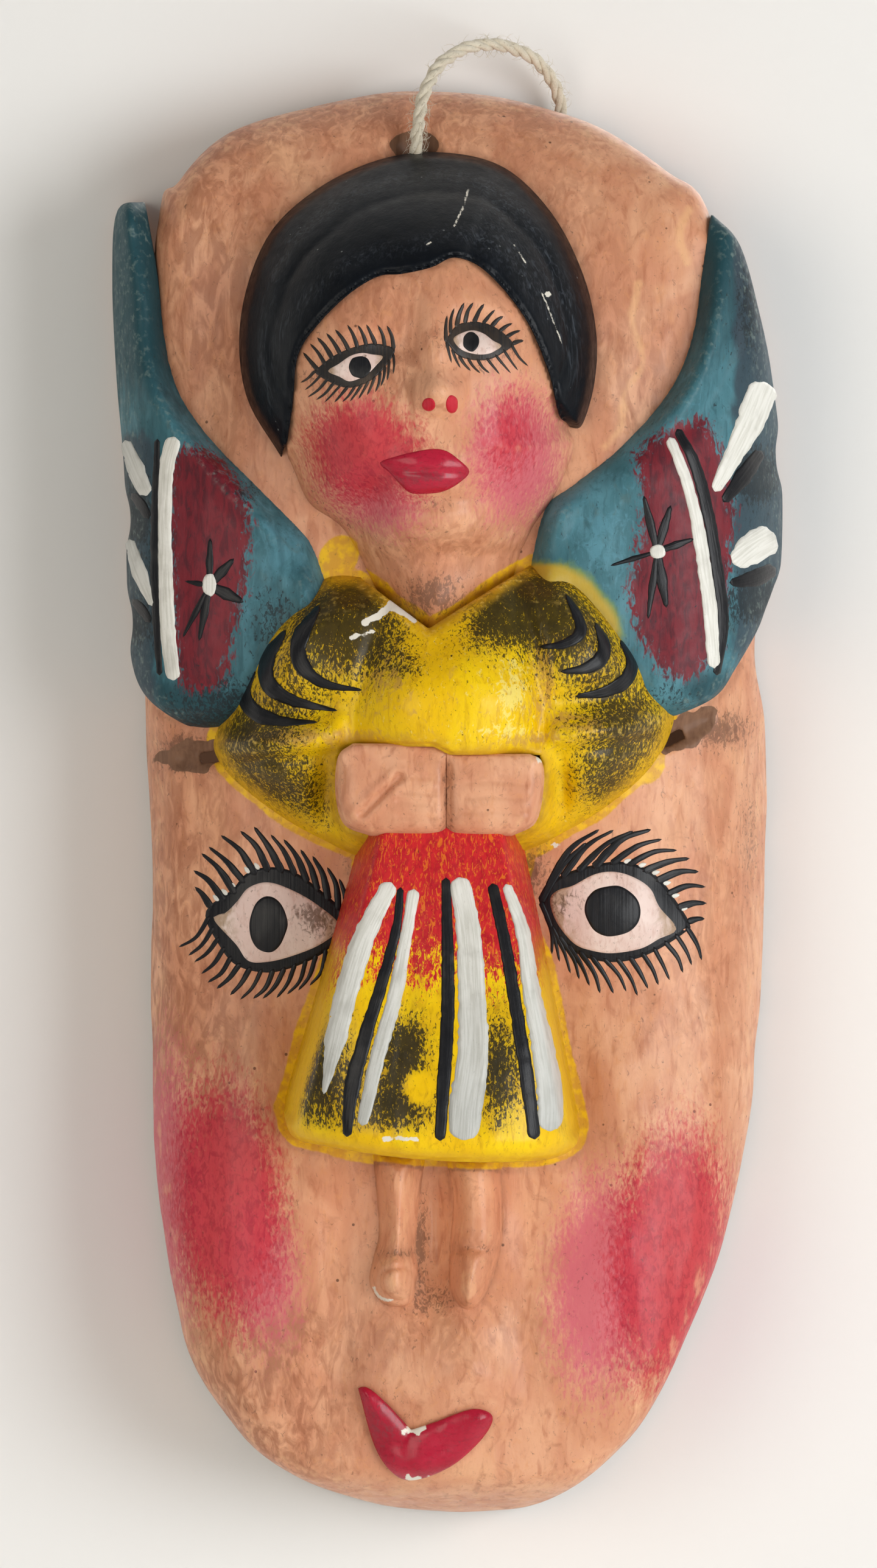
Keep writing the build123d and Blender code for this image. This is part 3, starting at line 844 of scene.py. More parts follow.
def evenly(places, gap):
    """The same line with points about gap apart."""
    along = along_of(places)
    wanted = np.linspace(0, along[-1], max(3, int(along[-1] / gap)))
    return np.stack([np.interp(wanted, along, places[:, axis]) for axis in range(3)], axis=1)


def frames_along(places):
    """Two directions across the line at each point, turning as little as they can."""
    tangents = np.gradient(places, axis=0)
    tangents /= np.linalg.norm(tangents, axis=1)[:, None]
    first = np.cross(tangents[0], (0.3, 0.9, 0.1))
    sides = [first / np.linalg.norm(first)]
    for tangent in tangents[1:]:
        side = sides[-1] - tangent * np.dot(sides[-1], tangent)
        sides.append(side / np.linalg.norm(side))
    sides = np.array(sides)
    return sides, np.cross(tangents, sides)


def tube(places, radii, around=8):
    """Vertices and faces of a closed tube whose ends are rounded off by its last radii."""
    sides, ups = frames_along(places)
    turn = np.linspace(0, 2 * math.pi, around, endpoint=False)
    ring = np.cos(turn)[None, :, None] * sides[:, None] + np.sin(turn)[None, :, None] * ups[:, None]
    vertices = (places[:, None] + ring * np.asarray(radii, float)[:, None, None]).reshape(-1, 3)
    rows, faces = len(places), []
    for i in range(rows - 1):
        for j in range(around):
            k = (j + 1) % around
            faces.append((i * around + j, i * around + k, (i + 1) * around + k, (i + 1) * around + j))
    faces.append(tuple(range(around))[::-1])
    faces.append(tuple(range((rows - 1) * around, rows * around)))
    return vertices, faces


def join_parts(name, parts):
    """One smooth-shaded object from several closed parts, each (vertices, faces)."""
    vertices, faces, start = [], [], 0
    for part_vertices, part_faces in parts:
        vertices.append(np.asarray(part_vertices))
        faces.extend(tuple(index + start for index in face) for face in part_faces)
        start += len(part_vertices)
    mesh = bpy.data.meshes.new(name)
    mesh.from_pydata((np.vstack(vertices) * MM).tolist(), [], faces)
    mesh.polygons.foreach_set("use_smooth", np.ones(len(faces), bool))
    piece = bpy.data.objects.new(name, mesh)
    bpy.context.collection.objects.link(piece)
    return piece


def twisted(places, diameter, plies, lay_length):
    """Plies wound round a line, each a tube, with a tapered start and end."""
    sides, ups = frames_along(places)
    along = along_of(places)
    ply = diameter / 2 / (1 + 1 / math.sin(math.pi / plies)) * 1.12
    ring = diameter / 2 - ply
    parts = []
    for number in range(plies):
        angle = 2 * math.pi * (along / lay_length + number / plies)
        wobble = 1 + 0.10 * np.sin(along * 0.9 + 2.1 * number)
        out = np.cos(angle)[:, None] * sides + np.sin(angle)[:, None] * ups
        centre = places + ring * wobble[:, None] * out
        parts.append(tube(centre, ply * (1 + 0.08 * np.sin(along * 1.7 + number)), 10))
    return parts


def fibres(places, radius, count, dice):
    """Loose cotton fibres: thin tapered hairs that leave the cord's surface."""
    sides, ups = frames_along(places)
    parts = []
    for _ in range(count):
        at = dice.integers(2, len(places) - 2)
        angle, length = dice.uniform(0, 2 * math.pi), dice.uniform(1.2, 3.6)
        out = math.cos(angle) * sides[at] + math.sin(angle) * ups[at]
        tangent = places[at + 1] - places[at - 1]
        tangent = tangent / np.linalg.norm(tangent) * dice.choice([-1, 1])
        sweep = dice.uniform(0.3, 1.2)
        hair = [places[at] + out * (radius * 0.85)]
        for part in (0.35, 0.7, 1.0):
            hair.append(places[at] + out * (radius * 0.85 + length * part * (1 - 0.45 * part * sweep))
                        + tangent * length * part * part * sweep)
        parts.append(tube(np.array(hair), [0.07, 0.06, 0.045, 0.02], 3))
    return parts


def make_cord():
    route = evenly(route_of("cord_route", CORD_POINTS), 0.8)
    dice = np.random.default_rng(71)
    plies = twisted(route, CORD_DIAMETER, 3, 15.0)
    near_hole = route[(route[:, 2] > 176) & (route[:, 2] < 200) & (route[:, 1] < -40)]
    cord = join_parts("twine_loop", plies)
    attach(cord, "root")
    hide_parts("hanging_cord")
    fuzz = join_parts("twine_fibres", fibres(route, CORD_DIAMETER / 2, 420, dice)
                      + fibres(near_hole, CORD_DIAMETER / 2, 90, dice))
    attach(fuzz, "root")
    knot = make_knot()
    return cord, fuzz, knot


def make_knot():
    """An overhand knot of the same twine, with two frayed tails, behind the hole."""
    low, high = node_box("cord_knot")
    centre, reach = (low + high) / 2, (high[0] - low[0]) / 2
    turn = np.linspace(0, 2 * math.pi, 60, endpoint=False)
    weave = np.stack([np.sin(turn) + 2 * np.sin(2 * turn), np.cos(turn) - 2 * np.cos(2 * turn),
                      -1.5 * np.sin(3 * turn)], axis=1)
    line = centre + weave * (reach - 1.9) / 3.0
    parts = twisted(evenly(line, 0.7), 3.4, 3, 12.0)
    for number, tip in enumerate([(-6, 3, -9), (5, 4, -10)]):
        start = centre + np.array([tip[0] * 0.3, 0, -2])
        tail = catmull([start, centre + np.array(tip) * 0.55, centre + np.array(tip)], 10)
        parts += twisted(evenly(tail, 0.7), 3.0, 3, 11.0)
        parts += fibres(evenly(tail, 0.5), 1.3, 30, np.random.default_rng(81 + number))
    knot = join_parts("twine_knot", parts)
    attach(knot, "root")
    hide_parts("cord_knot")
    return knot


twine_pieces = make_cord()


# ------------------------------------------------------------------ painted shade, grime and wear, from how deep the carving lies

MAP_PITCH = 0.8


def blurred(field, cells):
    """A box blur of 2 * cells + 1 wide, run twice so that it is nearly round."""
    width = 2 * cells + 1
    for _ in range(2):
        for axis in (0, 1):
            pads = [(cells + 1, cells) if other == axis else (0, 0) for other in (0, 1)]
            total = np.moveaxis(np.cumsum(np.pad(field, pads, mode="edge"), axis=axis), axis, 0)
            field = np.moveaxis((total[width:] - total[:-width]) / width, 0, axis)
    return field


class Relief:
    """The whole carving's height seen from the front, with its hollows and ridges."""

    def __init__(self):
        self.low = np.array([cad_box[0][0], cad_box[0][2]]) / MM - 4
        high = np.array([cad_box[1][0], cad_box[1][2]]) / MM + 4
        self.x, self.z = np.meshgrid(np.arange(self.low[0], high[0], MAP_PITCH),
                                     np.arange(self.low[1], high[1], MAP_PITCH), indexing="ij")
        self.height = np.zeros(self.x.shape)
        for front_of in FRONTS.values():
            front, edge = front_of(self.x, self.z)
            self.height = np.where(edge < 0, np.maximum(self.height, front), self.height)
        self.fine = blurred(self.height, 2) - self.height
        self.wide = blurred(self.height, 7) - self.height

    def sample(self, field, x, z):
        u, v = (x - self.low[0]) / MAP_PITCH, (z - self.low[1]) / MAP_PITCH
        u, v = np.clip(u, 0, field.shape[0] - 1.001), np.clip(v, 0, field.shape[1] - 1.001)
        i, j = u.astype(int), v.astype(int)
        u, v = u - i, v - j
        return ((field[i, j] * (1 - u) + field[i + 1, j] * u) * (1 - v)
                + (field[i, j + 1] * (1 - u) + field[i + 1, j + 1] * u) * v)

    # Painted shade with grime: 1 in the hollows and creases, where shade falls.
    def grime(self, x, z):
        fine, wide = self.sample(self.fine, x, z), self.sample(self.wide, x, z)
        return np.clip(step(0.25, 1.8, fine) + 0.25 * step(1.5, 7.0, wide), 0, 1)

    def worn(self, x, z):
        return step(0.12, 0.9, -self.sample(self.fine, x, z))


relief = Relief()


def as_seen(piece):
    """Move points along the lines of sight. Shapes are drawn as they look at DRAWN_AT, from VIEWPOINT."""
    places = np.empty(len(piece.data.vertices) * 3)
    piece.data.vertices.foreach_get("co", places)
    places = places.reshape(-1, 3)
    share = (places[:, 1] - VIEWPOINT[1]) / (-DRAWN_AT * MM - VIEWPOINT[1])
    for axis in (0, 2):
        places[:, axis] = VIEWPOINT[axis] + (places[:, axis] - VIEWPOINT[axis]) * share
    piece.data.vertices.foreach_set("co", places.ravel())
    piece.data.update()


def mark(piece, name, values):
    """A named value at every vertex, for the materials to read."""
    layer = piece.data.attributes.new(name, "FLOAT", "POINT")
    layer.data.foreach_set("value", np.asarray(values, np.float32))


# ------------------------------------------------------------------ where the paint goes

def spots(x, z, places):
    """Sponged density, 0 to 1, from soft (centre, radii, turn, strength) dabs."""
    return np.clip(sum(strength * bump(x, z, centre, radii, turn)
                       for centre, radii, turn, strength in places), 0, 1)


def shell_paint(x, z):
    hem = loop_distance(LOOPS["skirt"], x, z) + 4.0 * bump(x, z, (0, -31), (60, 11), 0, 3)
    garment = np.minimum(loop_distance(GARMENT, x, z), hem)
    blob = np.minimum(oval(x, z, (-30, 69), (5.4, 6.6), -30), oval(x, z, (57.6, 10.4), (4.4, 5.6), -20))
    return {
        "rouge": np.minimum(oval(x, z, (-61.5, -113), (16.5, 35), 4), oval(x, z, (64, -129), (18, 38), -6)),
        "pink": np.minimum.reduce([oval(x, z, (44, -136), (13, 28), -4), oval(x, z, (-52, -132), (9, 18), 8),
                                   oval(x, z, (-80, -110), (10, 34), 0)]),
        "spill": np.minimum(garment - 1.8 - 1.1 * rough(x, z, 13, 101), blob),
        "green": loop_distance(LOOPS["right_wing"], x, z) + 40 * (1 - step(20, 34, x)) + 60 * step(74, 84, z),
        # Black smudges beside the big eyes; painted shade in the sight slits, down the nose valley, above the
        # mouth and on the right edge.
        "soot": -spots(x, z, [((-22, -24), (4, 9), 20, 0.6), ((24, -20), (5, 8), -15, 0.8),
                              ((-74, 14), (7, 5), 0, 1.0), ((78, 20), (8, 5), 10, 0.9),
                              ((-7, -125), (2.2, 12), 0, 0.9), ((-3, -141), (8, 4), 0, 0.6),
                              ((86, -10), (3, 16), 0, 0.4)]),
        # Painted highlights: pale lines along the ridges of the right brow.
        "pale": np.minimum(line_distance(catmull([(69, 167), (66.4, 160), (68.4, 152)], 5), x, z) - 0.9,
                           line_distance(catmull([(54.5, 146), (53, 136), (56, 124), (51, 116), (49.6, 106),
                                                  (45, 100)], 5), x, z) - 0.8) + 0.6 * rough(x, z, 3, 105),
        # Painted shade, mostly down the left side and round the mouth; brown paint on the top of the brow
        # too.
        "wash": spots(x, z, [((-20, 196), (60, 16), 0, 0.9), ((-66, 150), (20, 60), 6, 1.0),
                             ((-78, -60), (26, 90), 0, 0.9), ((-50, -170), (26, 26), 30, 0.8),
                             ((40, 150), (16, 40), 20, 0.6), ((58, 112), (14, 20), 0, 0.6),
                             ((-60, 0), (30, 20), 0, 0.3), ((0, -150), (40, 10), 0, 0.7),
                             ((-48, -165), (16, 24), 20, 0.7), ((60, -50), (18, 26), 0, 0.4),
                             ((-70, -70), (14, 40), 0, 0.4), ((76, -20), (10, 50), 0, 0.5)]),
        "gesso": np.minimum(oval(x, z, (66.4, 18.8), (4.6, 1.5), -14), oval(x, z, (31.2, -12.4), (1.2, 0.7))),
    }


def head_paint(x, z):
    return {
        "rouge": np.minimum.reduce([oval(x, z, (-23, 99), (17, 15), -30), oval(x, z, (-12, 97), (8, 11), 10),
                                    oval(x, z, (18, 103), (10, 15), 0) + 3.0]),
        "pink": np.minimum(oval(x, z, (20, 98), (12, 17), 0), oval(x, z, (-20, 86), (12, 8), -20)),
        "spill": np.minimum(loop_distance(GARMENT, x, z) - 2.4 - 0.8 * rough(x, z, 7, 102),
                            oval(x, z, (-30, 69), (5.4, 6.6), -30)),
        "green": np.full(x.shape, 50.0),
        # Smoky paint round the small eyes and on the neck; painted shade along the jaw and under the lower
        # lip.
        "soot": -spots(x, z, [((-26.4, 122.6), (10.5, 5.6), 16, 1.0), ((9.0, 130.0), (9.5, 4.6), -8, 1.0),
                              ((-4, 57), (8, 5), 0, 0.8), ((-1, 62), (10, 4), 0, 0.35),
                              ((-2, 84.6), (11, 1.4), 2, 0.3), ((-28, 79), (12, 1.8), -26, 0.3)]),
        "pale": np.full(x.shape, 50.0),
        # Painted shade beside the nose, under the chin and below the hair.
        "wash": spots(x, z, [((-14, 122), (9, 24), 8, 1.0), ((-4, 70), (26, 10), 0, 0.7),
                             ((-32, 140), (14, 10), 20, 0.5),
                             ((0, 148), (20, 6), 0, 0.4)]),
        "gesso": np.full(x.shape, 50.0),
    }


def limb_paint(x, z):
    chips = [oval(x, z, (-22.6, -13.9), (1.6, 1.0)), oval(x, z, (26.8, 12.2), (1.0, 1.4)),
             np.abs(oval(x, z, (-15.6, -136.8), (4.4, 4.2))) - 0.35]
    hidden = step(-15, -13, x) + step(-136, -134, z) + step(-0.1, 0.8, rough(x, z, 2.0, 104))
    nail = np.minimum(chips[2] + 3.0 * hidden, chips[0])
    return {
        "rouge": np.full(x.shape, 50.0),
        "pink": np.full(x.shape, 50.0),
        "spill": loop_distance(LOOPS["skirt"], x, z) - 1.8 + 50 * step(-60, -40, z),
        "green": np.full(x.shape, 50.0),
        # Painted shade in the groove between the hands, below it and in the ankle creases.
        "soot": -spots(x, z, [((0.5, 3), (1.4, 14), 0, 0.45), ((-12, -127.6), (7, 1.4), 4, 0.6),
                              ((8, -126.4), (7, 1.3), -4, 0.3), ((0.4, -10), (2.4, 2.4), 0, 0.8)]),
        "pale": np.full(x.shape, 50.0),
        # Painted shade at the ankles, beside the left hand and in the groove between the hands.
        "wash": spots(x, z, [((-13, -126), (9, 5), 0, 0.6), ((8, -126), (9, 5), 0, 0.5),
                             ((-30, 0), (4, 14), 0, 0.6), ((0.5, 3), (3, 14), 0, 0.8)]),
        "gesso": np.minimum(nail, chips[1]),
    }


def garment_paint(x, z):
    chips = [line_distance([(-22.6, 50.4), (-17.4, 53.6), (-15.4, 56.0)], x, z) - 0.9,
             line_distance([(-15.4, 55.4), (-11.6, 53.4), (-8.6, 51.2)], x, z) - 0.9,
             line_distance([(-26.4, 46.4), (-20.6, 48.0)], x, z) - 0.5]
    edge = np.maximum(loop_distance(GARMENT, x, z), -loop_distance(HANDS, x, z))
    return {
        "sponge": spots(x, z, [
            ((-27, 55), (14, 10), 20, 1.1), ((-20, 42), (12, 9), 30, 0.55), ((-41, 40), (18, 14), 40, 0.55),
            ((-54, 22), (16, 8), 12, 0.65), ((-48, 6), (20, 10), -25, 0.85), ((-10, 38), (5, 4), 0, 0.4),
            ((24, 56), (18, 13), -20, 1.1), ((12, 49), (10, 7), 40, 0.45), ((44, 37), (19, 15), -45, 0.6),
            ((53, 19), (12, 11), 0, 0.65), ((45, 5), (10, 12), 35, 0.65)]),
        # Painted shade in tan along the folds beside the bust, along the forearms and under the bust.
        "tan": spots(x, z, [((-48, 18), (17, 2.6), 3, 0.9), ((-24, 18), (12, 2.2), 4, 0.7),
                            ((40, 22), (12, 3.0), -6, 0.8), ((-17, 35), (6, 8), 30, 0.7),
                            ((28, 36), (3.6, 14), 0, 0.8), ((24, 17.5), (9, 1.8), 0, 0.9),
                            ((36, 46), (8, 4), -40, 0.5)]),
        # Painted highlights on the right of the bust and above the hands.
        "pale": spots(x, z, [((19, 31), (4.5, 8), -8, 0.9), ((16, 20), (11, 2.0), 0, 0.5)]),
        "rim": np.clip(1.2 + np.minimum(edge, 0) / 3.4, 0, 1),
        "gesso": np.minimum.reduce(chips) + 0.5 * rough(x, z, 1.4, 103),
    }


def skirt_paint(x, z):
    edge = loop_distance(LOOPS["skirt"], x, z)
    clean = bump(x, z, (-8, -81), (4.0, 4.2), 20, 3)
    black = spots(x, z, [((-35, -78), (9, 17), -12, 0.95), ((-11.5, -71), (7, 11), -8, 1.15),
                         ((-14, -87), (12, 8), 0, 0.85), ((15, -76), (7, 17), 0, 0.95),
                         ((34, -80), (6, 16), 12, 0.75)])
    return {
        "red": z + 47 - 5.0 * rough(x, z, 7, 111),
        "sponge": np.clip(black - 1.2 * clean, 0, 1) * step(3.0, 6.0, -edge) * step(-95.5, -92, z),
        "rim": np.clip(1.4 + np.minimum(edge, 0) / 3.0, 0, 1) * step(-34, -50, z),
        "gesso": line_distance([(-17, -95.2), (-8, -95.6)], x, z) - 0.5 + 0.5 * rough(x, z, 1.6, 112),
    }


def wing_paint(x, z):
    left = loop_distance(catmull([(-77, 97), (-66, 99), (-57, 88), (-55, 74), (-57, 58), (-60, 44), (-63, 33),
                                  (-74, 32), (-77, 50), (-78, 75)], 5, closed=True), x, z)
    right = loop_distance(catmull([(54.2, 98.6), (70.6, 108.4), (78.2, 98.6), (82, 81.2), (80.4, 64.8),
                                   (77.1, 43), (68.4, 34.2), (60.8, 37.5), (54.2, 48.4), (51.5, 59.3),
                                   (55.3, 75.7), (55.3, 91)], 5, closed=True), x, z)
    side = np.abs(x)
    return {
        "red": np.minimum(left, right),
        "navy": step(77, 86, side) * np.where(x < 0, 1 - step(96, 112, z), 1.0),
        # Darker towards the top and at the lower ends; on the left wing it is painted shade.
        "deep": np.clip(step(100, 150, z) + 0.42 * (x < 0) + spots(x, z, [((-70, 24), (12, 9), -10, 1.0),
                                                         ((76, 32), (11, 8), 10, 0.9)]), 0, 1),
        "sponge": spots(x, z, [((-48, 52), (8, 9), 40, 0.55), ((-60, 30), (12, 6), 0, 0.6),
                               ((-70, 22), (14, 6), -10, 0.7),
                               ((-57, 87), (5, 4), 0, 0.5), ((-84, 62), (4, 12), 0, 0.5),
                               ((-87, 88), (4, 8), 0, 0.8), ((64, 30), (8, 4), 0, 0.5),
                               ((88, 92), (7, 8), 0, 1.3), ((88, 57), (8, 7), 0, 1.3),
                               ((-88, 79), (5, 6), 0, 1.2),
                               ((-88, 50), (5, 6), 0, 1.0), ((86, 140), (4, 16), 0, 0.7)]),
        # Painted highlights on the bulges of the wing panels.
        "bright": spots(x, z, [((-47, 72), (7, 12), 30, 0.7), ((44, 74), (8, 13), -20, 0.7),
                               ((-66, 118), (8, 16), 0, 0.5), ((66, 128), (5, 14), 0, 0.5)]),
        "green": (loop_distance(GARMENT, x, z) - 0.6 - 0.9 * rough(x, z, 7, 121)
                  + 30 * (x < 0) + 9 * step(52, 36, z)),
    }


def hair_paint(x, z):
    ridge = np.abs(loop_distance(LOOPS["figure_hair"], x, z) + 6.5)
    chips = [line_distance([(7.2, 175), (5.2, 168), (2.4, 162), (-4.9, 157.3)], x, z) - 0.25,
             line_distance([(19.5, 157.3), (25.4, 148), (29.4, 139), (33.3, 128.8)], x, z) - 0.15]
    broken = 0.9 * step(-0.1, 0.6, rough(x, z, 2.2, 131))
    return {
        # Painted highlight along the ridge near the hair's edge and on the right.
        "sheen": np.exp(-(ridge / 2.2) ** 2) + spots(x, z, [((14, 166), (6, 12), -10, 0.8),
                                                           ((27, 148), (6, 18), 34, 1.3)]),
        "gesso": np.minimum(np.minimum.reduce(chips) + broken, oval(x, z, (29.1, 143.3), (0.9, 0.8))),
    }


def lips_paint(x, z):
    chips = np.minimum(oval(x, z, (-8.4, -177.4), (3.4, 1.7), 10), oval(x, z, (-8.4, -191.4), (2.4, 0.7)))
    return {"gesso": chips + 0.9 * rough(x, z, 1.5, 141),
            "dusky": spots(x, z, [((-15, -174), (6, 8), -40, 0.6)])}


# ------------------------------------------------------------------ materials

def srgb(red, green, blue):
    """A display colour, 0 to 255, as the linear colour that a shader takes."""
    part = np.array([red, green, blue]) / 255.0
    linear = np.where(part <= 0.04045, part / 12.92, ((part + 0.055) / 1.055) ** 2.4)
    return (*linear.tolist(), 1.0)


class Paint:
    """Builds one material from nodes. Sizes are in millimetres."""

    SPONGE_RANGE = 0.31
    SPONGE_EDGE = 0.67

    def __init__(self, name):
        self.material = bpy.data.materials.new(name)
        self.material.use_nodes = True
        tree = self.material.node_tree
        self.nodes, self.links = tree.nodes, tree.links
        self.surface = self.nodes["Principled BSDF"]
        coordinates = self.nodes.new("ShaderNodeTexCoord").outputs["Object"]
        self.place = self.vector("SCALE", coordinates, 1 / MM)

    def put(self, socket, value):
        if isinstance(value, bpy.types.NodeSocket):
            self.links.new(value, socket)
        else:
            socket.default_value = value

    def vector(self, operation, value, other):
        node = self.nodes.new("ShaderNodeVectorMath")
        node.operation = operation
        self.put(node.inputs[0], value)
        self.put(node.inputs["Scale"] if operation == "SCALE" else node.inputs[1], other)
        return node.outputs[0]

    def calc(self, operation, value, other=0.0):
        node = self.nodes.new("ShaderNodeMath")
        node.operation = operation
        self.put(node.inputs[0], value)
        self.put(node.inputs[1], other)
        return node.outputs[0]

    def times(self, value, other):
        return self.calc("MULTIPLY", value, other)

    def plus(self, value, other):
        return self.calc("ADD", value, other)

    def noise(self, size, detail=3.0, stretch=(1, 1, 1), twist=0.0, rough=0.55):
        """Noise around 0.5 with features about size across, drawn out along an axis by stretch."""
        node = self.nodes.new("ShaderNodeTexNoise")
        drawn = tuple(1 / (size * part) for part in stretch)
        self.put(node.inputs["Vector"], self.vector("MULTIPLY", self.place, drawn))
        node.inputs["Scale"].default_value = 1.0
        node.inputs["Detail"].default_value = detail
        node.inputs["Roughness"].default_value = rough
        node.inputs["Distortion"].default_value = twist
        return node.outputs["Fac"]

    def cells(self, size, stretch=(1, 1, 1)):
        """Distance to the nearest of scattered points about size apart, as a fraction of size."""
        node = self.nodes.new("ShaderNodeTexVoronoi")
        drawn = tuple(1 / (size * part) for part in stretch)
        self.put(node.inputs["Vector"], self.vector("MULTIPLY", self.place, drawn))
        node.inputs["Scale"].default_value = 1.0
        return node.outputs["Distance"]

    def field(self, name):
        node = self.nodes.new("ShaderNodeAttribute")
        node.attribute_name = name
        return node.outputs["Fac"]

    def ramp(self, value, low, high, start=0.0, end=1.0):
        node = self.nodes.new("ShaderNodeMapRange")
        node.interpolation_type = "SMOOTHSTEP"
        for socket, given in zip(node.inputs, (value, low, high, start, end)):
            self.put(socket, given)
        return node.outputs[0]

    def clouds(self, size, low, high, start=0.0, end=1.0, stretch=(1, 1, 1)):
        """Fine-grained noise of about the given size, ramped between two of its levels."""
        return self.ramp(self.noise(size, 4, stretch), low, high, start, end)

    def mix(self, factor, below, above):
        node = self.nodes.new("ShaderNodeMix")
        node.data_type = "RGBA"
        self.put(node.inputs[0], factor)
        self.put(node.inputs[6], below)
        self.put(node.inputs[7], above)
        return node.outputs[2]

    def brushed(self, dark, middle, light, size=1.3, stretch=(1, 1, 9)):
        """Three close shades laid in streaks and clouds, as a brush leaves them."""
        clouds = self.noise(16, 4, (1, 1, 1.6), 0.6)
        streaks = self.noise(size, 3, stretch, 0.8)
        shade = self.mix(self.ramp(clouds, 0.38, 0.66), middle, light)
        return self.mix(self.ramp(streaks, 0.48, 0.76, 0.0, 0.6), shade, dark)

    def sponged(self, density, size=1.0, soft=0.10, stretch=(1, 1, 1.5)):
        """A mask of ragged dabs that covers more where density, 0 to 1, is higher."""
        dabs = self.noise(size, 4, stretch, 0.9, 0.65)
        level = self.plus(self.times(density, self.SPONGE_RANGE), dabs)
        return self.ramp(level, self.SPONGE_EDGE - soft / 2, self.SPONGE_EDGE + soft / 2)

    def edged(self, field, ragged=0.6, size=1.2, soft=0.5):
        """A mask inside a field's zero line, with a ragged border."""
        torn = self.times(self.calc("SUBTRACT", self.noise(size, 3), 0.5), 4 * ragged)
        return self.ramp(self.plus(field, torn), soft, -soft)

    def patchy(self, colour, name, tint, cover):
        """Lays a tint where a painted field is high, broken up by a cover of clouds."""
        return self.mix(self.times(self.field(name), cover), colour, tint)

    def blackened(self, colour, cover, film_tint, dab_tint, strength):
        """Black sponged on over the sponge field: a thin film, then ragged dabs over it."""
        film = self.times(self.field("sponge"), self.clouds(6, 0.35, 0.7, *cover))
        colour = self.mix(self.times(film, 0.8), colour, film_tint)
        dabs = self.sponged(self.field("sponge"), 0.75, 0.10, (1, 1, 2.0))
        return self.mix(self.times(dabs, strength), colour, dab_tint)

    def chipped(self, colour, ragged, size, soft):
        """Chips the paint back to its white ground inside the gesso field."""
        return self.mix(self.edged(self.field("gesso"), ragged, size, soft), colour, GESSO)

    def grained_wood(self):
        """Bare wood, streaked along its grain."""
        return self.mix(self.noise(1.2, 4, (1, 1, 12), 0.5), srgb(92, 62, 48), srgb(150, 112, 86))

    def finish(self, colour, roughness, bump, depth=0.25, coat=0.0, shine=0.2):
        self.put(self.surface.inputs["Base Color"], colour)
        self.put(self.surface.inputs["Roughness"], roughness)
        self.surface.inputs["Coat Weight"].default_value = coat
        self.surface.inputs["Coat Roughness"].default_value = 0.22
        self.surface.inputs["Specular IOR Level"].default_value = shine
        node = self.nodes.new("ShaderNodeBump")
        node.inputs["Strength"].default_value = 1.0
        node.inputs["Distance"].default_value = depth * MM
        self.put(node.inputs["Height"], bump)
        self.put(self.surface.inputs["Normal"], node.outputs[0])
        return self.material

    def satin(self, colour, size, gloss, depth, coat):
        """Brushed paint whose roughness drifts between two values of gloss."""
        roughness = self.ramp(self.noise(size), 0.3, 0.7, *gloss)
        return self.finish(colour, roughness, self.brush_relief(), depth, coat)

    def pitted(self, colour):
        """Pinholes and old stains over a paint colour, then grime and painted shade darkening its hollows."""
        stain = self.ramp(self.noise(7, 5, (1, 1, 1.4), 1.2, 0.62), 0.54, 0.78, 0.0, 0.5)
        colour = self.mix(stain, colour, srgb(150, 92, 62))
        holes = self.ramp(self.cells(9), 0.060, 0.035)
        colour = self.mix(self.times(holes, 0.8), colour, srgb(86, 52, 36))
        # Painted shade with grime: darker brown in the hollows.
        dirt = self.times(self.field("grime"), self.clouds(2.4, 0.30, 0.62, 0.35, 1.0))
        return self.mix(self.times(dirt, 0.72), colour, srgb(84, 52, 38))

    def brush_relief(self):
        """Heights of brush hairs, orange-peel and grain, all shallow."""
        hairs = self.times(self.noise(0.6, 2, (1, 1, 9), 0.8), 0.22)
        peel = self.times(self.noise(2.6, 3), 0.55)
        return self.plus(hairs, peel)


SKIN, SKIN_LIGHT, SKIN_DARK = srgb(210, 145, 111), srgb(226, 168, 132), srgb(178, 110, 79)
ROUGE, ROUGE_DEEP, PINK = srgb(196, 52, 66), srgb(172, 32, 54), srgb(206, 96, 112)
YELLOW, YELLOW_DARK, YELLOW_LIGHT = srgb(238, 190, 0), srgb(192, 140, 6), srgb(244, 204, 4)
SOOT_AND_SHADE, GESSO = srgb(66, 50, 42), srgb(226, 220, 206)


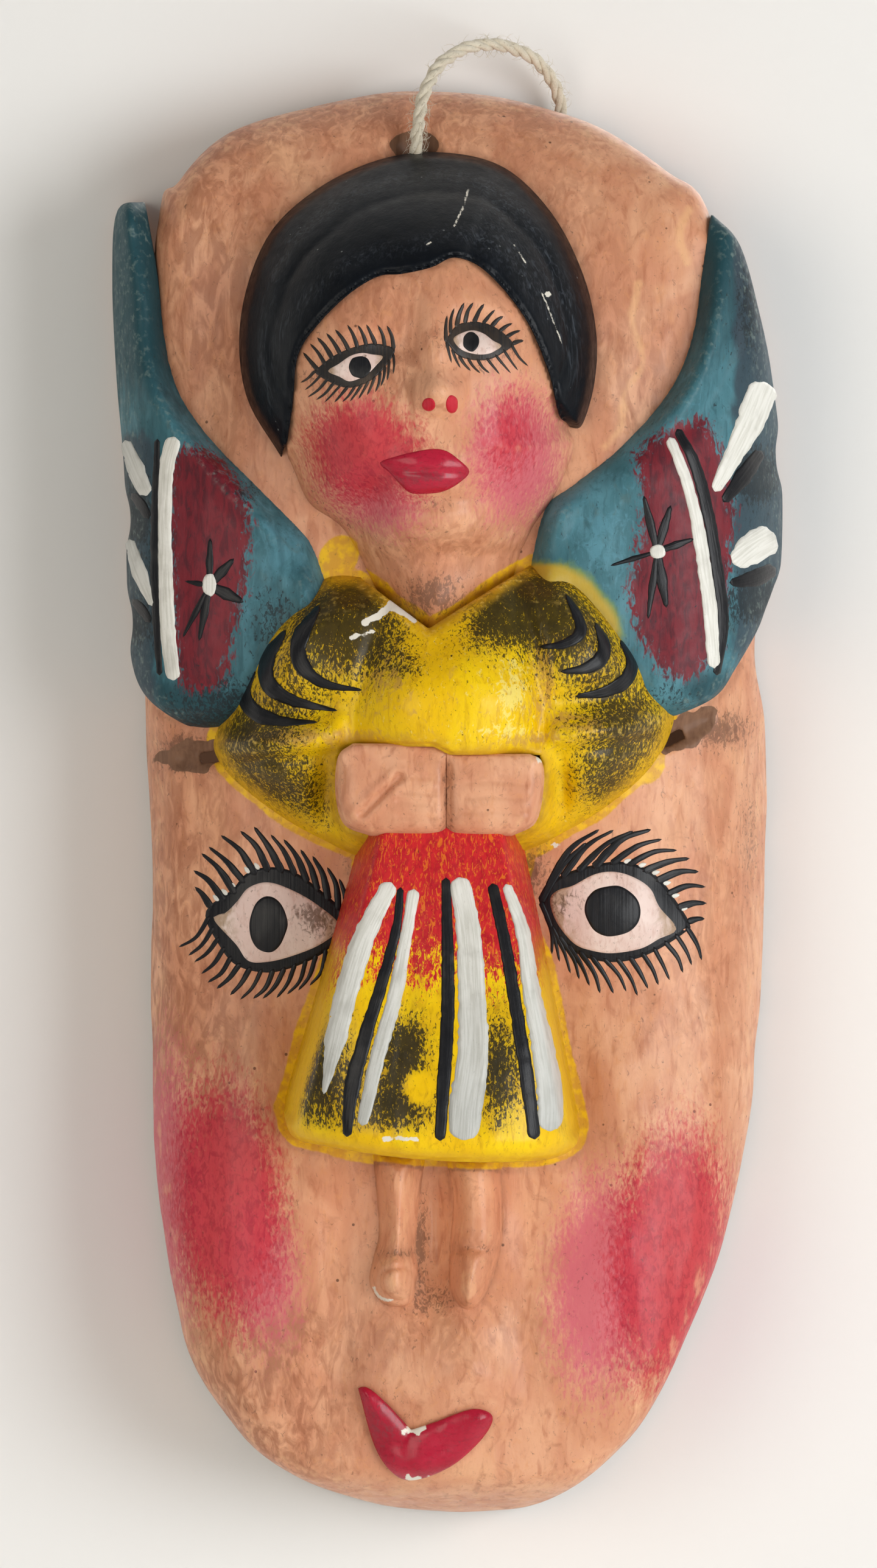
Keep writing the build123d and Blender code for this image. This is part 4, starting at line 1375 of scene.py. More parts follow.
def skin_material():
    """Flesh-coloured oil paint under a satin varnish, with rouge, soot, yellow overspill, painted shade and
    painted highlights.
    """
    paint = Paint("flesh_paint")
    colour = paint.brushed(SKIN_DARK, SKIN, SKIN_LIGHT, 2.6, (1, 1, 3.4))
    slant = paint.ramp(paint.noise(1.6, 4, (2.2, 1, 4.0), 1.8), 0.52, 0.74, 0.0, 0.5)
    colour = paint.mix(slant, colour, srgb(218, 152, 106))
    pale = paint.ramp(paint.noise(26, 3, (1, 1, 2), 0.4), 0.56, 0.74, 0.0, 0.45)
    colour = paint.mix(pale, colour, srgb(230, 176, 134))
    # Painted shade, with brown paint in places: a darker brown where this field is high.
    wash = paint.times(paint.field("wash"), paint.ramp(paint.noise(4, 4, (1, 1, 2.6), 1.4), 0.36, 0.62))
    colour = paint.mix(paint.times(wash, 0.62), colour, srgb(152, 92, 64))
    # Painted highlights along the pale lines.
    pale = paint.times(paint.edged(paint.field("pale"), 0.3, 2.0, 1.0), 0.5)
    colour = paint.mix(pale, paint.pitted(colour), srgb(238, 186, 134))
    bristle = paint.times(paint.calc("SUBTRACT", paint.noise(0.9, 4, (1, 1, 2.2), 0.6), 0.5), 20.0)
    pink = paint.ramp(paint.plus(paint.field("pink"), bristle), 6.0, -5.0, 0.0, 0.88)
    colour = paint.mix(pink, colour, PINK)
    red = paint.mix(paint.ramp(paint.noise(1.4, 4, (1, 1, 1.8), 0.8), 0.42, 0.66), ROUGE, ROUGE_DEEP)
    rouge = paint.ramp(paint.plus(paint.field("rouge"), bristle), 4.5, -6.0, 0.0, 0.93)
    colour = paint.mix(rouge, colour, red)
    spill = paint.mix(paint.ramp(paint.noise(3), 0.4, 0.65), srgb(214, 158, 40), YELLOW)
    colour = paint.mix(paint.times(paint.edged(paint.field("spill"), 0.25, 2.6, 0.35), 0.93), colour, spill)
    rubbed = paint.clouds(3.5, 0.48, 0.7, 0.0, 0.4, (1, 1, 2))
    colour = paint.patchy(colour, "worn", srgb(236, 186, 142), rubbed)
    # Soot and painted shade: a brown haze, then sponged dark dabs.
    soot = paint.sponged(paint.times(paint.field("soot"), -1.0), 1.1, 0.16)
    haze = paint.times(paint.field("soot"), -0.35)
    colour = paint.mix(haze, colour, srgb(120, 82, 62))
    colour = paint.mix(paint.times(soot, 0.55), colour, SOOT_AND_SHADE)
    colour = paint.chipped(colour, 0.25, 0.8, 0.15)
    wood = paint.grained_wood()
    wood = paint.mix(paint.clouds(6, 0.5, 0.8, 0.0, 0.6), wood, srgb(80, 54, 38))
    bare = paint.edged(paint.field("painted"), 0.9, 3.0, 0.5)
    colour = paint.mix(bare, colour, wood)
    gloss = paint.ramp(paint.noise(5, 3), 0.3, 0.7, 0.34, 0.50)
    roughness = paint.plus(gloss, paint.times(bare, 0.35))
    return paint.finish(colour, roughness, paint.brush_relief(), 0.22, 0.12)


def garment_material():
    """Yellow paint sponged with black, with painted highlights, and painted shade in tan along the folds."""
    paint = Paint("sponged_yellow_paint")
    colour = paint.brushed(YELLOW_DARK, YELLOW, YELLOW_LIGHT, 1.6, (1, 1, 4))
    # Painted highlights in pale yellow.
    pale = paint.sponged(paint.field("pale"), 1.6, 0.12)
    colour = paint.mix(paint.times(pale, 0.8), colour, srgb(242, 222, 120))
    # Painted shade in tan along the folds.
    tan = paint.sponged(paint.field("tan"), 2.2, 0.22)
    colour = paint.mix(paint.times(tan, 0.75), colour, srgb(196, 148, 72))
    colour = paint.blackened(colour, (0.45, 0.95), srgb(112, 90, 22), srgb(34, 30, 14), 0.92)
    colour = paint.patchy(colour, "rim", srgb(208, 160, 30), paint.clouds(3, 0.32, 0.62, 0.35, 1.0))
    # Painted shade with grime in the hollows.
    colour = paint.patchy(colour, "grime", srgb(120, 80, 28), paint.clouds(2.4, 0.3, 0.6, 0.2, 0.75))
    colour = paint.patchy(colour, "worn", srgb(232, 196, 96), paint.clouds(1.6, 0.5, 0.72, 0.0, 0.6))
    colour = paint.chipped(colour, 0.2, 0.7, 0.12)
    return paint.satin(colour, 4, (0.33, 0.48), 0.25, 0.08)


def skirt_material():
    """Red above, yellow below and black dabs over the yellow."""
    paint = Paint("sponged_skirt_paint")
    yellow = paint.brushed(YELLOW_DARK, YELLOW, YELLOW_LIGHT, 1.4, (1, 1, 4))
    red = paint.mix(paint.clouds(1.6, 0.4, 0.65, stretch=(1, 1, 2)), srgb(206, 40, 44), srgb(184, 28, 40))
    flecks = paint.ramp(paint.noise(1.7, 4, (0.6, 1, 2.0), 1.6, 0.6), 0.53, 0.62, 0.0, 0.85)
    red = paint.mix(flecks, red, srgb(226, 116, 34))
    down = paint.times(paint.field("red"), 0.018)
    above = paint.ramp(paint.plus(down, paint.noise(1.2, 4, (0.7, 1, 2.0), 1.0, 0.65)), 0.46, 0.54)
    colour = paint.mix(above, yellow, red)
    colour = paint.blackened(colour, (0.5, 1.0), srgb(94, 74, 20), srgb(30, 28, 20), 0.93)
    colour = paint.patchy(colour, "rim", srgb(220, 170, 8), paint.clouds(3, 0.30, 0.60, 0.5, 1.0))
    # Painted shade with grime in the hollows.
    colour = paint.patchy(colour, "grime", srgb(120, 80, 28), paint.clouds(2.4, 0.3, 0.6, 0.1, 0.6))
    colour = paint.chipped(colour, 0.2, 0.8, 0.12)
    return paint.satin(colour, 4, (0.32, 0.46), 0.25, 0.08)


def wing_material():
    """Blue-green paint that darkens upwards and outwards, with a sponged dark red patch, painted highlights
    and painted shade on the left wing.
    """
    paint = Paint("blue_green_paint")
    colour = paint.brushed(srgb(46, 82, 90), srgb(64, 110, 120), srgb(82, 132, 144), 1.8, (1, 1, 5))
    # Painted highlights in a lighter blue.
    bright = paint.sponged(paint.field("bright"), 3.0, 0.25)
    colour = paint.mix(paint.times(bright, 0.55), colour, srgb(92, 146, 162))
    blotch = paint.ramp(paint.noise(5, 4, (1, 1, 2), 1.0), 0.55, 0.75, 0.0, 0.5)
    colour = paint.mix(blotch, colour, srgb(84, 104, 100))
    clouds = paint.calc("SUBTRACT", paint.noise(5, 4, (1, 1, 3), 0.8), 0.5)
    # Painted shade on the left wing, and darker towards the top and the lower ends.
    deep = paint.ramp(paint.plus(paint.field("deep"), clouds), 0.15, 0.95, 0.0, 0.92)
    colour = paint.mix(deep, colour, srgb(30, 66, 74))
    navy = paint.ramp(paint.plus(paint.field("navy"), clouds), 0.3, 0.8, 0.0, 0.85)
    colour = paint.mix(navy, colour, srgb(52, 64, 74))
    shades = paint.ramp(paint.noise(2.2, 4, (1, 1, 3), 0.8), 0.4, 0.66)
    red = paint.mix(shades, srgb(120, 24, 36), srgb(88, 18, 30))
    ragged = paint.times(paint.calc("SUBTRACT", paint.noise(1.3, 4, (1, 1, 2.4), 0.9, 0.65), 0.5), 15.0)
    patch = paint.ramp(paint.plus(paint.field("red"), ragged), 1.2, -1.6, 0.0, 0.95)
    colour = paint.mix(patch, colour, red)
    dabs = paint.sponged(paint.field("sponge"), 1.0, 0.12, (1, 1, 1.8))
    colour = paint.mix(paint.times(dabs, 0.85), colour, srgb(34, 42, 46))
    green = paint.times(paint.edged(paint.field("green"), 0.8, 2.5, 1.4), 0.8)
    blend = paint.mix(paint.ramp(paint.field("green"), -2.2, 0.4), srgb(204, 166, 12), srgb(120, 146, 62))
    colour = paint.mix(green, colour, blend)
    # Painted shade with grime in the hollows.
    colour = paint.patchy(colour, "grime", srgb(40, 48, 48), paint.clouds(2.4, 0.3, 0.6, 0.2, 0.75))
    colour = paint.patchy(colour, "worn", srgb(134, 150, 142), paint.clouds(1.8, 0.5, 0.75, 0.0, 0.5))
    wood = paint.grained_wood()
    bare = paint.edged(paint.field("painted"), 0.9, 3.0, 0.5)
    colour = paint.mix(bare, colour, wood)
    return paint.satin(colour, 4, (0.42, 0.56), 0.22, 0.04)


def hair_material():
    """Glossy blue-black paint, with a painted highlight along the raised ridge and on the right."""
    paint = Paint("blue_black_paint")
    colour = paint.mix(paint.noise(9, 4, (1, 1, 1.5), 0.6), srgb(8, 11, 15), srgb(16, 21, 28))
    streak = paint.ramp(paint.noise(1.1, 4, (1, 1, 6), 1.0), 0.45, 0.75)
    # Painted highlight in grey where the sheen field is high.
    sheen = paint.times(paint.field("sheen"), streak)
    colour = paint.mix(paint.times(sheen, 0.42), colour, srgb(74, 80, 88))
    specks = paint.ramp(paint.cells(7), 0.05, 0.03, 0.0, 0.7)
    colour = paint.mix(specks, colour, srgb(120, 124, 124))
    colour = paint.chipped(colour, 0.2, 0.9, 0.12)
    return paint.finish(colour, paint.clouds(3, 0.3, 0.7, 0.28, 0.42), paint.brush_relief(), 0.22, 0.0, 0.14)


def lips_material():
    """Glossy crimson, streaked along the lips and chipped to gesso."""
    paint = Paint("crimson_paint")
    colour = paint.brushed(srgb(132, 8, 32), srgb(164, 12, 42), srgb(182, 28, 56), 0.9, (3, 1, 1))
    dusky = paint.sponged(paint.field("dusky"), 1.4, 0.2)
    colour = paint.mix(paint.times(dusky, 0.5), colour, srgb(120, 60, 66))
    # Painted shade with grime in the hollows, in darker crimson.
    dirt = paint.times(paint.field("grime"), 0.3)
    colour = paint.mix(dirt, colour, srgb(90, 24, 34))
    colour = paint.chipped(colour, 0.25, 0.7, 0.15)
    return paint.satin(colour, 2.5, (0.22, 0.36), 0.2, 0.3)


def stroke_material(name, dark, middle, light, roughness, coat):
    """Thick paint from one pull of a brush, streaked along the stroke."""
    paint = Paint(name)
    across, along = paint.field("across"), paint.field("along")
    vector = paint.nodes.new("ShaderNodeCombineXYZ")
    paint.put(vector.inputs[0], paint.times(across, 1.8))
    paint.put(vector.inputs[1], paint.times(along, 0.09))
    streaks = paint.nodes.new("ShaderNodeTexNoise")
    paint.put(streaks.inputs["Vector"], vector.outputs[0])
    streaks.inputs["Scale"].default_value = 1.0
    streaks.inputs["Detail"].default_value = 4.0
    colour = paint.mix(paint.ramp(streaks.outputs["Fac"], 0.36, 0.60), middle, light)
    colour = paint.mix(paint.ramp(paint.noise(9, 3), 0.50, 0.75, 0.0, 0.4), colour, dark)
    dusty = paint.clouds(0.8, 0.62, 0.76, 0.0, 0.35)
    colour = paint.mix(dusty, colour, dark)
    colour = paint.mix(paint.times(paint.field("fade"), 0.9), colour, srgb(96, 108, 116))
    height = paint.plus(streaks.outputs["Fac"], paint.times(paint.noise(1.5), 0.5))
    return paint.finish(colour, roughness, height, 0.16, coat)


def sclera_material():
    """Thin pinkish white over flesh, darker towards the corners as painted shade, with painted shade and dirt
    at the inner corners.
    """
    paint = Paint("eye_white_paint")
    colour = paint.brushed(srgb(198, 160, 146), srgb(220, 192, 182), srgb(232, 212, 202), 1.2, (1, 1, 3))
    # Painted shade towards the corners of the eye white.
    corner = paint.ramp(paint.plus(paint.field("corner"), paint.noise(3.5, 4, (1, 1, 1), 0.8)), 0.95, 1.35)
    colour = paint.mix(paint.times(corner, 0.75), colour, srgb(160, 130, 96))
    # Painted shade with dirt at the inner corners.
    dark = paint.sponged(paint.field("dirt"), 1.3, 0.2)
    colour = paint.mix(paint.times(dark, 0.75), colour, srgb(92, 66, 46))
    return paint.satin(colour, 2.5, (0.28, 0.42), 0.18, 0.2)


def twine_material():
    """Soft off-white cotton with fine fibres along each ply."""
    paint = Paint("cotton_twine")
    colour = paint.mix(paint.noise(2.5, 4), srgb(196, 184, 160), srgb(228, 220, 202))
    colour = paint.mix(paint.ramp(paint.noise(0.45, 3), 0.52, 0.75, 0.0, 0.5), colour, srgb(156, 140, 114))
    surface = paint.finish(colour, 0.9, paint.noise(0.3, 3), 0.12)
    paint.surface.inputs["Sheen Weight"].default_value = 0.35
    paint.surface.inputs["Sheen Roughness"].default_value = 0.5
    return surface


def wear(piece, material):
    piece.data.materials.clear()
    piece.data.materials.append(material)


cotton = twine_material()
for piece in twine_pieces:
    wear(piece, cotton)


# ------------------------------------------------------------------ the carved and painted pieces

flesh, sponged, skirt_coat = skin_material(), garment_material(), skirt_material()
wing_coat, hair_coat, lip_coat = wing_material(), hair_material(), lips_material()
DRESS = {
    "face_shell": (shell_paint, flesh, "skin_paint"), "figure_head": (head_paint, flesh, "skin_paint"),
    "left_hand": (limb_paint, flesh, "skin_paint"), "right_hand": (limb_paint, flesh, "skin_paint"),
    "left_leg": (limb_paint, flesh, "skin_paint"), "right_leg": (limb_paint, flesh, "skin_paint"),
    "left_wing": (wing_paint, wing_coat, "blue_paint"), "right_wing": (wing_paint, wing_coat, "blue_paint"),
    "figure_hair": (hair_paint, hair_coat, "black_paint"), "blouse": (garment_paint, sponged, "yellow_paint"),
    "left_sleeve": (garment_paint, sponged, "yellow_paint"),
    "right_sleeve": (garment_paint, sponged, "yellow_paint"),
    "skirt": (skirt_paint, skirt_coat, "skirt_paint"), "lips": (lips_paint, lip_coat, "red_paint"),
}


# How strongly each piece is darkened in its hollows by painted shade with grime.
SHADE_AND_GRIME = {"figure_head": 0.6, "left_hand": 0.4, "right_hand": 0.4, "left_leg": 0.7, "right_leg": 0.7}


def painted_carving(node):
    """Carve a node's piece, note where its paint, painted shade with grime, and wear lie, and paint it."""
    piece = carve(node)
    fields_of, material, slot = DRESS[node]
    places = np.empty(len(piece.data.vertices) * 3)
    piece.data.vertices.foreach_get("co", places)
    x, y, z = places.reshape(-1, 3).T / MM
    for name, values in fields_of(x, z).items():
        mark(piece, name, values)
    front = FRONTS[node](x, z)[0]
    inside = step(3.0, 6.0, front + y) * (loop_distance(LOOPS["face_shell"], x, z) < -2.0)
    hole = step(9.0, 6.0, np.hypot(x + 8.6, z - 188)) * step(0.4, 1.6, front + y)
    if node == "face_shell":
        dishes = np.minimum(oval(x, z, (-71, 12.6), (10, 4.8), 8), oval(x, z, (68, 20.4), (9.5, 4.8), 28))
        hole = np.maximum(hole, step(0.8, -0.8, dishes + 1.2 * rough(x, z, 2.6, 152)))
    rim = 4.0 + 2.0 * rough(x, z, 9, 151) + y
    mark(piece, "painted", np.minimum(-rim, 4.0 - 8.0 * np.maximum(inside, hole)))
    outside = (1 - inside) * step(16.0, 6.0, front + y)
    # Painted shade with grime in the hollows, kept off the inside and the sides.
    mark(piece, "grime", relief.grime(x, z) * outside * SHADE_AND_GRIME.get(node, 0.3))
    mark(piece, "worn", relief.worn(x, z) * outside)
    wear(piece, material)
    as_seen(piece)
    return piece


for node in FRONTS:
    painted_carving(node)


# ------------------------------------------------------------------ strokes and patches of thick paint

THICKNESS = 0.28


def face_here(x, z):
    return shell_front(x, z)[0]


def front_of(node):
    return lambda x, z: FRONTS[node](x, z)[0]


def paint_sheet(surface, x, z, lift, notes):
    """Closed sheet of paint over a grid of places, lift high and sunk a little into the surface."""
    front, nudge = surface(x, z), 0.25
    slope = np.sqrt(1 + ((surface(x + nudge, z) - surface(x - nudge, z)) / (2 * nudge)) ** 2
                    + ((surface(x, z + nudge) - surface(x, z - nudge)) / (2 * nudge)) ** 2)
    top, bottom = -(front + lift * slope), -(front - 0.4 * slope)
    rows, columns = x.shape
    count = rows * columns
    vertices = np.concatenate([np.stack([x, depth, z], axis=-1).reshape(-1, 3) for depth in (top, bottom)])
    index = np.arange(count).reshape(rows, columns)
    faces = []
    for i in range(rows - 1):
        for j in range(columns - 1):
            a, b, c, d = index[i, j], index[i + 1, j], index[i + 1, j + 1], index[i, j + 1]
            faces += [(a, b, c, d), (d + count, c + count, b + count, a + count)]
    border = np.concatenate([index[0, :-1], index[:-1, -1], index[-1, :0:-1], index[:0:-1, 0]])
    for a, b in zip(border, np.roll(border, -1)):
        faces.append((a, b, b + count, a + count))
    return vertices, faces, {name: np.tile(np.ravel(values), 2) for name, values in notes.items()}


def stroke(surface, points, widths, seed=0, thick=THICKNESS, fade=(0.0, 0.0)):
    """One pull of a loaded brush along given points; widths are spread evenly along it."""
    line = catmull(points, 12)
    gaps = np.concatenate([[0], np.cumsum(np.hypot(*np.diff(line, axis=0).T))])
    rows = max(9, int(gaps[-1] / 0.8))
    along = np.linspace(0, gaps[-1], rows)
    cx, cz = np.interp(along, gaps, line[:, 0]), np.interp(along, gaps, line[:, 1])
    width = np.interp(along, np.linspace(0, gaps[-1], len(widths)), widths)
    end = np.clip(np.minimum(along, gaps[-1] - along) / (width / 2 + 1e-6), 0, 1)
    width = width * (0.12 + 0.88 * np.sqrt(1 - (1 - end) ** 2))
    tx, tz = np.gradient(cx), np.gradient(cz)
    size = np.hypot(tx, tz)
    across = np.linspace(-1, 1, 7 if max(widths) > 2 else 5)
    jitter = 1 + 0.10 * rough(along[:, None] + 31 * np.sign(across), across * 0 + seed, 1.6, 161)
    offset = across * width[:, None] / 2 * jitter
    x, z = cx[:, None] - offset * (tz / size)[:, None], cz[:, None] + offset * (tx / size)[:, None]
    lift = thick * (0.12 + 0.88 * np.sqrt(1 - across ** 2))[None, :] * (0.35 + 0.65 * end)[:, None]
    share = (along / gaps[-1])[:, None] + 0 * across
    notes = {"across": offset + 7.0 * seed, "along": along[:, None] + 0 * across + 40.0 * seed,
             "fade": np.interp(share, [0, 1], fade)}
    return paint_sheet(surface, x, z, lift, notes)


def patch(surface, outline, thick, cells=26, notes_of=None, over=0.0):
    """A flat of paint that fills a closed outline, as a square grid pulled out to the outline."""
    loop = catmull(outline, 8, closed=True)
    centre = loop.mean(axis=0)
    turn = np.arctan2(loop[:, 1] - centre[1], loop[:, 0] - centre[0])
    order = np.argsort(turn)
    reach = np.hypot(*(loop - centre).T)[order]
    u, v = np.meshgrid(np.linspace(-1, 1, cells), np.linspace(-1, 1, cells), indexing="ij")
    part = np.maximum(np.abs(u), np.abs(v))
    angle = np.arctan2(v, u)
    radius = np.interp(angle, turn[order], reach, period=2 * math.pi) * part
    x, z = centre[0] + radius * np.cos(angle), centre[1] + radius * np.sin(angle)
    lift = over + thick * (1 - 0.85 * step(0.82, 1.0, part))
    notes = {"across": x, "along": z * 0.2, "fade": 0 * x}
    if notes_of:
        notes.update(notes_of(x, z, part))
    return paint_sheet(surface, x, z, lift, notes)


def strokes(surface, lines, seed, thick, fade=(0.0, 0.0)):
    """One stroke for each pair of a line and its widths."""
    return [stroke(surface, line, widths, seed + number, thick, fade)
            for number, (line, widths) in enumerate(lines)]


def painted_piece(name, sheets, material):
    """One piece from the sheets of paint of one colour on one feature."""
    piece = join_parts(name, [(vertices, faces) for vertices, faces, _ in sheets])
    for note in sheets[0][2]:
        mark(piece, note, np.concatenate([notes[note] for _, _, notes in sheets]))
    shape = bmesh.new()
    shape.from_mesh(piece.data)
    bmesh.ops.recalc_face_normals(shape, faces=shape.faces)
    shape.to_mesh(piece.data)
    shape.free()
    as_seen(piece)
    wear(piece, material)
    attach(piece, "root")
    return piece


white_paint = stroke_material("white_paint", srgb(168, 164, 154), srgb(214, 212, 202), srgb(232, 230, 222),
                              0.42, 0.1)
black_paint = stroke_material("black_paint", srgb(54, 52, 50), srgb(28, 28, 31), srgb(19, 20, 24), 0.36, 0.1)
washed_black = stroke_material("thin_black_paint", srgb(92, 74, 58), srgb(52, 46, 42), srgb(40, 38, 38),
                               0.4, 0.1)
nostril_red = stroke_material("red_paint", srgb(150, 30, 46), srgb(188, 20, 44), srgb(196, 30, 52), 0.34, 0.2)
eye_white = sclera_material()

BIG_EYES = {
    "left": dict(
        white=[(-65.3, -33.2), (-61.8, -31.4), (-58.6, -28.2), (-55.4, -24.4), (-50, -22.9), (-43.4, -25.0),
               (-36.1, -29.2), (-29.8, -35.2), (-34.8, -40.2), (-43.5, -43.8), (-50.5, -45.4),
               (-55.6, -45.0), (-59, -40.4)],
        pupil=(-49.9, -34.8), radii=(5.3, 7.9),
        upper=[(-66.5, -29.6), (-60.2, -25), (-56, -20.4), (-50, -18.6), (-43, -19.8), (-36, -24.4),
               (-27.6, -32)],
        upper_tips=[(-71, -24.2), (-70.9, -18), (-67, -13), (-61.6, -8.7), (-53, -7.4), (-44.5, -11.2),
                    (-37, -16), (-30, -21.5)], upper_count=13,
        lower=[(-67.5, -33.4), (-64.5, -39.4), (-59.4, -46), (-50.6, -48.4), (-42, -46.6), (-33.4, -42.2),
               (-27.6, -35.6)],
        lower_tips=[(-75, -40.6), (-69.8, -47), (-63.7, -53.6), (-55, -56), (-45, -54.5), (-35, -50.5),
                    (-30, -46)], lower_count=17, gaps=(0.08, 0.38)),
    "right": dict(
        white=[(29.8, -27.2), (32.2, -25.0), (36.2, -23.8), (41.6, -20.9), (46, -19.9), (50.5, -20.4),
               (55.3, -22.5), (58.4, -25.2), (60.6, -29.9), (65.4, -36.0), (60.4, -38.9), (55.3, -41.6),
               (47.4, -42.9), (41.6, -42.2), (36.8, -40.4), (32.6, -35.8), (30.3, -31.2)],
        pupil=(47.4, -31.0), radii=(7.9, 7.2),
        upper=[(28.4, -26.5), (31, -22.2), (36, -19.6), (42, -18.0), (49, -17.0), (56, -18.6), (61.4, -22.6),
               (64.8, -27.4), (69.0, -34)],
        upper_tips=[(40, -11.4), (45.6, -8.6), (54.4, -8.8), (61.0, -9.6), (67, -15), (71.4, -20.8),
                    (74.2, -26), (73.4, -33.4)], upper_count=12,
        lower=[(27.4, -30), (30.8, -37.0), (36.6, -42.6), (44, -45.2), (52, -45), (60, -42), (68.6, -36.4)],
        lower_tips=[(31, -43), (33.5, -47), (42.5, -53.3), (49.6, -54.2), (56.4, -54.0), (64.5, -49.6),
                    (72.6, -44.6)], lower_count=15, gaps=(0.50, 0.92)),
}

SMALL_EYES = {
    "left": dict(
        white=[(-33.0, 121.6), (-30, 123.6), (-26.6, 125.9), (-23.4, 126.7), (-20.6, 126.3), (-17.5, 125.7),
               (-19.4, 123.2), (-21.8, 120.8), (-24.6, 119.3), (-27.2, 118.7), (-29.8, 120.0)],
        pupil=(-24.0, 122.7), radii=(3.2, 3.1),
        upper=[(-36.2, 122.2), (-31.2, 126), (-25.5, 128.4), (-20, 129.4), (-14.6, 128.2)],
        upper_tips=[(-40, 127), (-35.4, 131.2), (-29.5, 134), (-23, 134.6), (-16.2, 134.2)], upper_count=10,
        lower=[(-37.0, 121.4), (-33.2, 118.8), (-28, 116.9), (-23, 117.8), (-18.4, 121.0), (-14.6, 126)],
        lower_tips=[(-41, 118.5), (-38, 114.2), (-31, 112.6), (-25, 113.4), (-19, 116.2), (-14.4, 120.5)],
        lower_count=14),
    "right": dict(
        white=[(2.4, 130.5), (4.2, 132.1), (7.7, 133.1), (10.9, 132.2), (13.6, 130.2), (16.0, 128.8),
               (14.2, 127.3), (11.9, 126.4), (8.4, 126.4), (4.6, 127.7)],
        pupil=(7.4, 129.9), radii=(2.3, 2.8),
        upper=[(0.4, 130.4), (3, 134.2), (7, 135.6), (12, 135), (16.5, 132.4), (19.4, 129.4)],
        upper_tips=[(0.6, 137), (4.6, 141), (10.5, 140.6), (15.7, 137.6), (20.8, 133.4), (22.4, 130)],
        upper_count=10,
        lower=[(0.6, 129.6), (4.0, 125.8), (9.4, 124.6), (14, 125.4), (19.2, 128.6)],
        lower_tips=[(2.0, 123.6), (6, 121.6), (11, 121.0), (17, 120.8), (23.6, 123.2)], lower_count=9),
}


def spread(line, count):
    """count places evenly along a smooth line through given points."""
    fine = catmull(line, 12)
    gaps = np.concatenate([[0], np.cumsum(np.hypot(*np.diff(fine, axis=0).T))])
    wanted = np.linspace(0, gaps[-1], count)
    return np.stack([np.interp(wanted, gaps, fine[:, axis]) for axis in (0, 1)], axis=1)


def lashes(surface, roots, tips, count, root_width, tip_width, bow, dice):
    """Tapered strokes fanned from a root line to a tip line, each bowed a little to one side."""
    sheets = []
    for number, (root, tip) in enumerate(zip(spread(roots, count), spread(tips, count))):
        tip = tip + dice.uniform(-0.06, 0.06, 2) * np.hypot(*(tip - root))
        bend = np.array([-(tip - root)[1], (tip - root)[0]]) * (bow + dice.uniform(-0.04, 0.04))
        start = root - (tip - root) * 0.14
        widths = np.array([root_width, root_width * 0.98, (root_width + tip_width) / 2, tip_width])
        line = [start, (root + tip) / 2 + bend, tip]
        sheets.append(stroke(surface, line, widths * dice.uniform(0.85, 1.12), number + 1, 0.2))
    return sheets


def oval_outline(centre, radii, seed, wobble=0.04):
    turn = np.linspace(0, 2 * math.pi, 14, endpoint=False)
    ragged = 1 + np.random.default_rng(seed).uniform(-wobble, wobble, 14)
    return [(centre[0] + radii[0] * r * math.cos(t), centre[1] + radii[1] * r * math.sin(t))
            for t, r in zip(turn, ragged)]


def paint_eye(name, eye, surface, widths, bows, black, thick, seed):
    """Black almond, white over it, pupil on top and lashes around."""
    dice = np.random.default_rng(seed)
    ring = eye["upper"] + eye["lower"][::-1]
    dark = [patch(surface, ring, thick * 0.5, 30)]
    dark += lashes(surface, eye["upper"], eye["upper_tips"], eye["upper_count"], *widths[0], bows[0], dice)
    dark += lashes(surface, eye["lower"], eye["lower_tips"], eye["lower_count"], *widths[1], bows[1], dice)
    painted_piece(name + "_lashes", dark, black)
    left, right = min(x for x, _ in eye["white"]), max(x for x, _ in eye["white"])

    def shade(x, z, part):
        # Painted shade on the eye white: darker towards the corners, with shade and dirt at the inner lower
        # corners.
        corner = np.abs((x - left) / (right - left) * 2 - 1) ** 1.6
        low_corner = bump(x, z, (-36.5, -33), (6, 4), -30) + 0.8 * bump(x, z, (33, -29), (5, 4), 20)
        return {"corner": corner, "dirt": low_corner * 0.9}

    white = patch(surface, eye["white"], thick / 2, 34, shade, thick / 2)
    painted_piece(name + "_white", [white], eye_white)
    pupil = patch(surface, oval_outline(eye["pupil"], eye["radii"], seed), thick / 2, 22, None, thick)
    painted_piece(name + "_pupil", [pupil], black_paint)


def paint_big_eyes():
    for side, bows, seed in (("left", (-0.07, 0.10), 201), ("right", (0.09, 0.06), 211)):
        eye = BIG_EYES[side]
        paint_eye(side + "_big_eye", eye, face_here, ((2.1, 0.8), (1.5, 0.7)), bows, black_paint, 0.22, seed)
        first, last = eye["gaps"]
        roots, tips = spread(eye["upper"], 49), spread(eye["upper_tips"], 49)
        slivers = []
        for share in np.linspace(first, last, 6):
            root, tip = roots[int(share * 48)], tips[int(share * 48)]
            way = (tip - root) / np.hypot(*(tip - root))
            slivers.append(stroke(face_here, [root - way * 0.3, root + way * 0.8, root + way * 2.0],
                                  [1.0, 1.3, 0.5], seed + 3, 0.16))
        painted_piece(side + "_big_eye_gaps", slivers, white_paint)


def paint_small_eyes():
    for side, bows, seed in (("left", (-0.04, 0.05), 221), ("right", (0.06, -0.04), 231)):
        paint_eye(side + "_small_eye", SMALL_EYES[side], front_of("figure_head"), ((1.25, 0.6), (0.85, 0.4)),
                  bows, washed_black, 0.16, seed)


